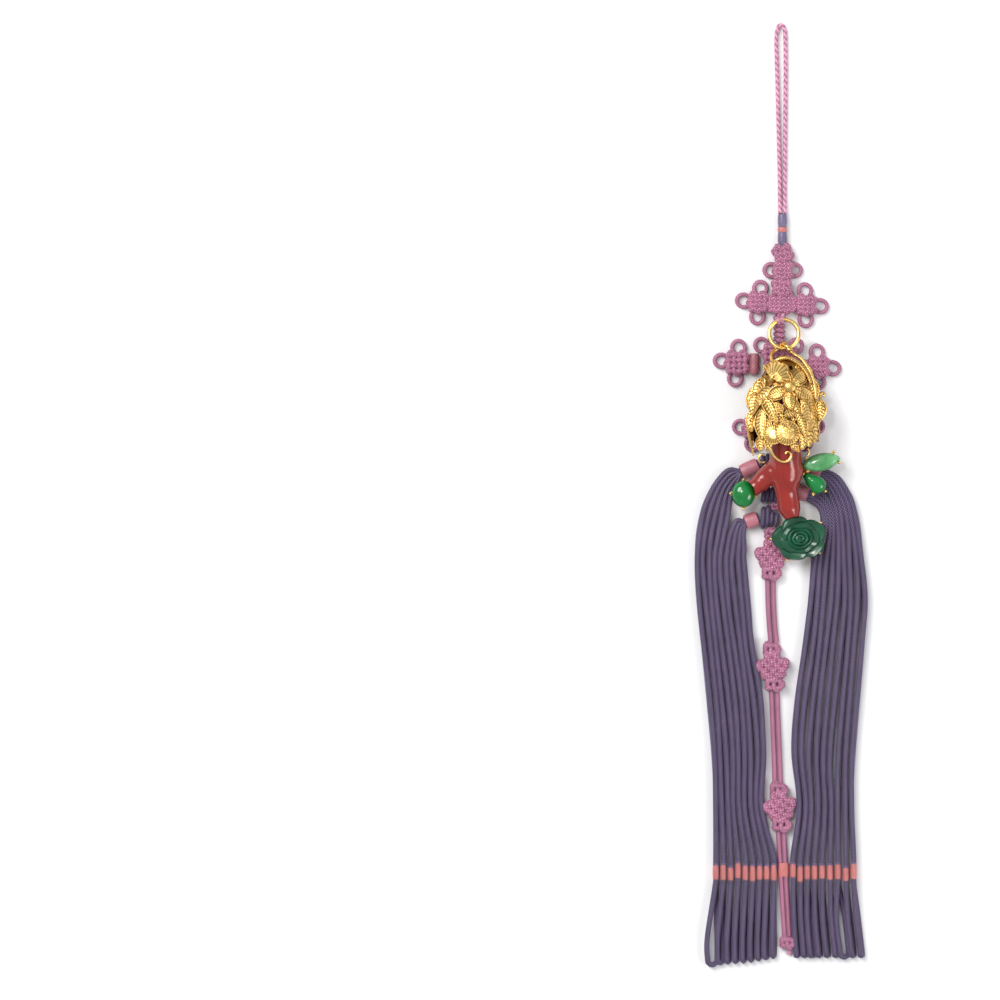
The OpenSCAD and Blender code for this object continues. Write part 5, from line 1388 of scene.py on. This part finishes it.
def make_cap_wires():
    """Bail, arch, twigs and tendril"""
    gold = Yarn()
    def place(rows, x, y, z=0.0):
        return smooth_route([(x + a, y + b, z + c) for a, b, c in rows], 8)
    x = AXIS + 0.5
    gold.tube(place(BAIL_ROUTE, x, RING_Y), 1.5, sides=14, spacing=0.35, weave="plain")
    twist = place(BAIL_ROUTE[4:9], x, RING_Y)
    gold.tube(twist + np.array((0.1, 0.1, 0.25)), 1.9, sides=12, spacing=0.25, weave="ply",
              depth=0.25, period=1.7)
    gold.tube(place(ARCH_ROUTE, x, RING_Y), [1.2, 1.8, 2.0, 1.9, 1.3], sides=12, spacing=0.3,
              weave="ply", depth=0.18, period=0.9)
    gold.tube(place(TWIG_ROUTE, x, RING_Y), [1.2, 1.5, 1.3, 1.2, 0.7], sides=10, spacing=0.35,
              weave="ply", depth=0.14, period=1.1)
    branch = [(*spot(px, py), z) for px, py, z in BRANCH_SPOTS]
    gold.tube(smooth_route(branch, 6), [1.3, 1.2, 0.6], sides=10, spacing=0.35, weave="ply",
              depth=0.14, period=1.1)
    gold.tube(place(TENDRIL_ROUTE, x, CAP_Y, CAP_Z), [1.2, 1.1, 1.1, 0.9], sides=12,
              spacing=0.3, weave="plain")
    make_gold(gold, "cap_wires")


def make_gold(gold, name):
    """A gold piece from gathered relief: its recesses carry painted shade in the darker tone"""
    # Painted shade: the lower a point of the relief, the darker its gold
    gold.rise = [0.95 * (1 - r) for r in gold.rise]
    return gold.make(name, "cast_gold", "gold", "cap", attribute="relief_shade")


def make_cap_relief():
    """Leaves, flowers, fruit and bud on the cap"""
    gold = Yarn()
    for line, widths, lift, lines in LEAVES:
        blade(gold, line, widths, lift, lines)
    make_gold(gold, "cap_leaves")
    gold = Yarn()
    cx, cy = 410, 290
    for px, py in ((448, 255), (463, 313), (411, 339), (362, 313), (394, 255)):
        petal_blade(gold, cx, cy, px, py, 46, 1.7, 12)
    x, y = spot(cx, cy)
    z = cap_top(x, y) + 3.3
    rows = []
    for i in range(25):
        row = []
        for j in range(29):
            v, u = 1 - 2 * i / 24, -1 + 2 * j / 28
            s = math.sqrt(max(1 - 0.5 * u * u, 0)), math.sqrt(max(1 - 0.5 * v * v, 0))
            p, q = u * s[1], v * s[0]
            # Painted shade: the hatched grooves are marked for the darker gold
            hatch = 0.0 if (i + j) % 4 == 0 or (i - j) % 4 == 0 else 1.0
            row.append((x + 2.5 * p, y + 2.3 * q, z + 1.1 * max(1 - p * p - q * q, 0) ** 0.5
                        + 0.13 * hatch, hatch))
        rows.append(list(reversed(row)))
    relief(gold, rows, 2.2)
    for n in range(14):
        a = 2 * math.pi * n / 14 + 0.2
        r = 3.4 + 0.5 * (n % 2)
        ball(gold, (x + r * math.cos(a), y + r * 0.92 * math.sin(a), z + 0.2), 0.52)
        gold.tube([(x + 2.0 * math.cos(a), y + 1.9 * math.sin(a), z - 0.3),
                   (x + r * math.cos(a), y + r * 0.92 * math.sin(a), z + 0.1)], 0.4, sides=6,
                  spacing=0.4, weave="plain")
    cx, cy = 380, 385
    for px, py in ((374, 359), (413, 377), (391, 409), (352, 392)):
        petal_blade(gold, cx, cy, px, py, 25, 1.9, 7)
    x, y = spot(cx, cy)
    z = cap_top(x, y) + 2.9
    ball(gold, (x, y, z), 0.8, 12, 8)
    for n in range(6):
        a = 2 * math.pi * n / 6
        ball(gold, (x + 1.15 * math.cos(a), y + 1.15 * math.sin(a), z - 0.1), 0.34)
    make_gold(gold, "cap_flowers")
    gold = Yarn()
    fruit(gold, 355, 448, 31, 0.3, False)
    fruit(gold, 401, 443, 39, 0.9)
    make_gold(gold, "cap_fruit")
    gold = Yarn()
    blade(gold, ((512, 334), (514, 364), (509, 398)), (18, 34, 38, 30, 12), 0.7, 9, 0.6, 0.9)
    top = [(*spot(px, py), 12.4) for px, py in ((514, 334), (512, 318), (520, 308), (527, 314), (523, 322))]
    gold.tube(smooth_route(top, 6), [1.6, 1.3, 0.9], sides=10, spacing=0.3, weave="ply", depth=0.15,
              period=1.0)
    # Curled leaf below the ring, ribbed from its stem
    sx, sy = spot(350, 262)
    rows = []
    for i in range(22):
        row = []
        for j in range(49):
            t, q = i / 21, j / 48
            a = math.radians(-28 + 158 * q)
            reach = (7.4 + 0.45 * math.cos(9 * a) - 2.2 * (abs(q - 0.45) * 2) ** 2) * t
            x, y = sx + reach * math.cos(a), sy + reach * math.sin(a)
            # Painted shade: the grooves between the ribs are marked for the darker gold
            groove = math.cos(math.pi * j / 2) < -0.5 and t > 0.15
            z = cap_top(x, y) + 2.4 + 0.8 * math.sin(math.pi * t) - 0.5 * t + 0.25 * math.cos(3 * a) * t
            row.append((x, y, z - (0.2 if groove else 0), 0.1 if groove else 1.0))
        rows.append(row)
    relief(gold, rows, 1.6)
    rim = [(x, y, z + 0.05) for x, y, z, _ in rows[-1]]
    gold.tube(rim, 0.8, sides=8, spacing=0.3, weave="ply", depth=0.2, period=0.9)
    tail = [spot(px, py) for px, py in ((372, 240), (352, 258), (341, 272))]
    tail = [(x, y, cap_top(x, y) + rise) for (x, y), rise in zip(tail, (2.9, 2.7, 2.1))]
    gold.tube(smooth_route(tail, 6), [1.0, 2.0, 1.0], 1.2, sides=10, spacing=0.3, weave="ply", depth=0.15)
    make_gold(gold, "cap_bud")


def make_cap():
    """The whole cap"""
    make_cap_shell()
    make_cap_relief()
    make_cap_wires()


# Floor, light and camera

def make_camera():
    """Straight above, so that the object fills the photograph's frame as it does there"""
    bpy.ops.object.camera_add(location=(-0.1124, 0.03615, 4.0), rotation=(0, 0, 0))
    camera = bpy.context.object
    camera.name = "Camera"
    camera.data.lens = 360
    camera.data.sensor_width = 36
    camera.data.clip_end = 30
    bpy.context.scene.camera = camera


def area_light(name, place, size, power, tint=(1, 1, 1)):
    """A round soft lamp aimed at the middle"""
    bpy.ops.object.light_add(type="AREA", location=place)
    light = bpy.context.object
    light.name = name
    light.data.shape = "DISK"
    light.data.size = size
    light.data.energy = power
    light.data.color = tint
    light.rotation_euler = (-Vector(place)).to_track_quat("-Z", "Y").to_euler()


def make_stage():
    """White floor, soft lamps and a pale world"""
    deselect()
    bpy.ops.mesh.primitive_plane_add(size=12, location=(0, 0, -0.0002))
    floor = bpy.context.object
    floor.name = "Floor"
    material = bpy.data.materials.new("floor_white")
    material.use_nodes = True
    shader = material.node_tree.nodes["Principled BSDF"]
    shader.inputs["Base Color"].default_value = (0.86, 0.86, 0.86, 1)
    shader.inputs["Roughness"].default_value = 0.9
    shader.inputs["Specular IOR Level"].default_value = 0.1
    floor.data.materials.append(material)
    area_light("Key panel", (-1.0, 0.9, 1.5), 1.0, 27, (1, 0.99, 0.97))
    area_light("Fill panel", (1.2, -0.5, 1.2), 0.8, 11)
    area_light("Gloss panel", (-0.5, 0.55, 2.2), 0.34, 9)
    world = bpy.data.worlds.new("Studio")
    world.use_nodes = True
    background = world.node_tree.nodes["Background"]
    background.inputs["Color"].default_value = (0.95, 0.96, 1.0, 1)
    background.inputs["Strength"].default_value = 0.6
    bpy.context.scene.world = world
    bpy.context.scene.view_settings.view_transform = "Standard"


def dress_metal():
    """Gold on the CAD pieces that keep their shape"""
    for node in ("gold_ring", "coral_wires", "leaf_setting", "cabochon_setting", "rose_setting"):
        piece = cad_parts[node]
        for slot in piece.material_slots:
            slot.material = bpy.data.materials["bright_gold"]


class NORIGAE_OT_finishes(bpy.types.Operator):
    """Make the materials"""
    bl_idname = "norigae.finishes"
    bl_label = "Finishes"

    def execute(self, context):
        make_materials()
        dress_metal()
        return {"FINISHED"}


class NORIGAE_OT_stage(bpy.types.Operator):
    """Make the floor, the lamps and the camera"""
    bl_idname = "norigae.stage"
    bl_label = "Stage"

    def execute(self, context):
        make_camera()
        make_stage()
        return {"FINISHED"}


class NORIGAE_OT_hanging_loop(bpy.types.Operator):
    """Make the hanging loop and its binding"""
    bl_idname = "norigae.hanging_loop"
    bl_label = "Hanging loop"

    def execute(self, context):
        make_hanging_loop()
        make_binding()
        return {"FINISHED"}


class NORIGAE_OT_knots(bpy.types.Operator):
    """Make the pink knots, the column behind the ring and the woven sleeve"""
    bl_idname = "norigae.knots"
    bl_label = "Pink knots"

    def execute(self, context):
        make_upper_knots()
        make_column()
        make_middle_knots()
        return {"FINISHED"}


class NORIGAE_OT_tassel(bpy.types.Operator):
    """Make the tassel with its wraps and the purple knots that hold it"""
    bl_idname = "norigae.tassel"
    bl_label = "Tassel"

    def execute(self, context):
        make_tassel()
        make_head_knots()
        return {"FINISHED"}


class NORIGAE_OT_drop(bpy.types.Operator):
    """Make the centre drop"""
    bl_idname = "norigae.drop"
    bl_label = "Centre drop"

    def execute(self, context):
        make_drop()
        return {"FINISHED"}


class NORIGAE_OT_coral(bpy.types.Operator):
    """Make the coral branch"""
    bl_idname = "norigae.coral"
    bl_label = "Coral"

    def execute(self, context):
        make_coral()
        return {"FINISHED"}


class NORIGAE_OT_stones(bpy.types.Operator):
    """Make the jade stones and the carved rose"""
    bl_idname = "norigae.stones"
    bl_label = "Stones"

    def execute(self, context):
        make_stones()
        make_rose()
        return {"FINISHED"}


class NORIGAE_OT_cap(bpy.types.Operator):
    """Make the gold cap with its leaves, flowers, fruit and wires"""
    bl_idname = "norigae.cap"
    bl_label = "Gold cap"

    def execute(self, context):
        make_cap()
        return {"FINISHED"}


OPERATORS = (
    NORIGAE_OT_finishes, NORIGAE_OT_stage, NORIGAE_OT_hanging_loop, NORIGAE_OT_drop,
    NORIGAE_OT_knots, NORIGAE_OT_tassel, NORIGAE_OT_coral, NORIGAE_OT_stones, NORIGAE_OT_cap,
)


class NORIGAE_PT_panel(bpy.types.Panel):
    """Sizes, colours and pieces of the norigae"""
    bl_idname = "NORIGAE_PT_panel"
    bl_label = "Norigae"
    bl_space_type = "VIEW_3D"
    bl_region_type = "UI"
    bl_category = "Norigae"

    def draw(self, context):
        for group in (context.scene.norigae_sizes, context.scene.norigae_colours):
            for name in group.__annotations__:
                self.layout.prop(group, name)
        for operator in OPERATORS:
            self.layout.operator(operator.bl_idname)


CLASSES = (NorigaeSizes, NorigaeColours, *OPERATORS, NORIGAE_PT_panel)


def register():
    for cls in CLASSES:
        bpy.utils.register_class(cls)
    bpy.types.Scene.norigae_sizes = bpy.props.PointerProperty(type=NorigaeSizes)
    bpy.types.Scene.norigae_colours = bpy.props.PointerProperty(type=NorigaeColours)


def unregister():
    del bpy.types.Scene.norigae_colours
    del bpy.types.Scene.norigae_sizes
    for cls in reversed(CLASSES):
        bpy.utils.unregister_class(cls)


def main():
    register()
    for operator in OPERATORS:
        name = operator.bl_idname.split(".")[1]
        getattr(bpy.ops.norigae, name)()
    deselect()


if __name__ == "__main__":
    main()
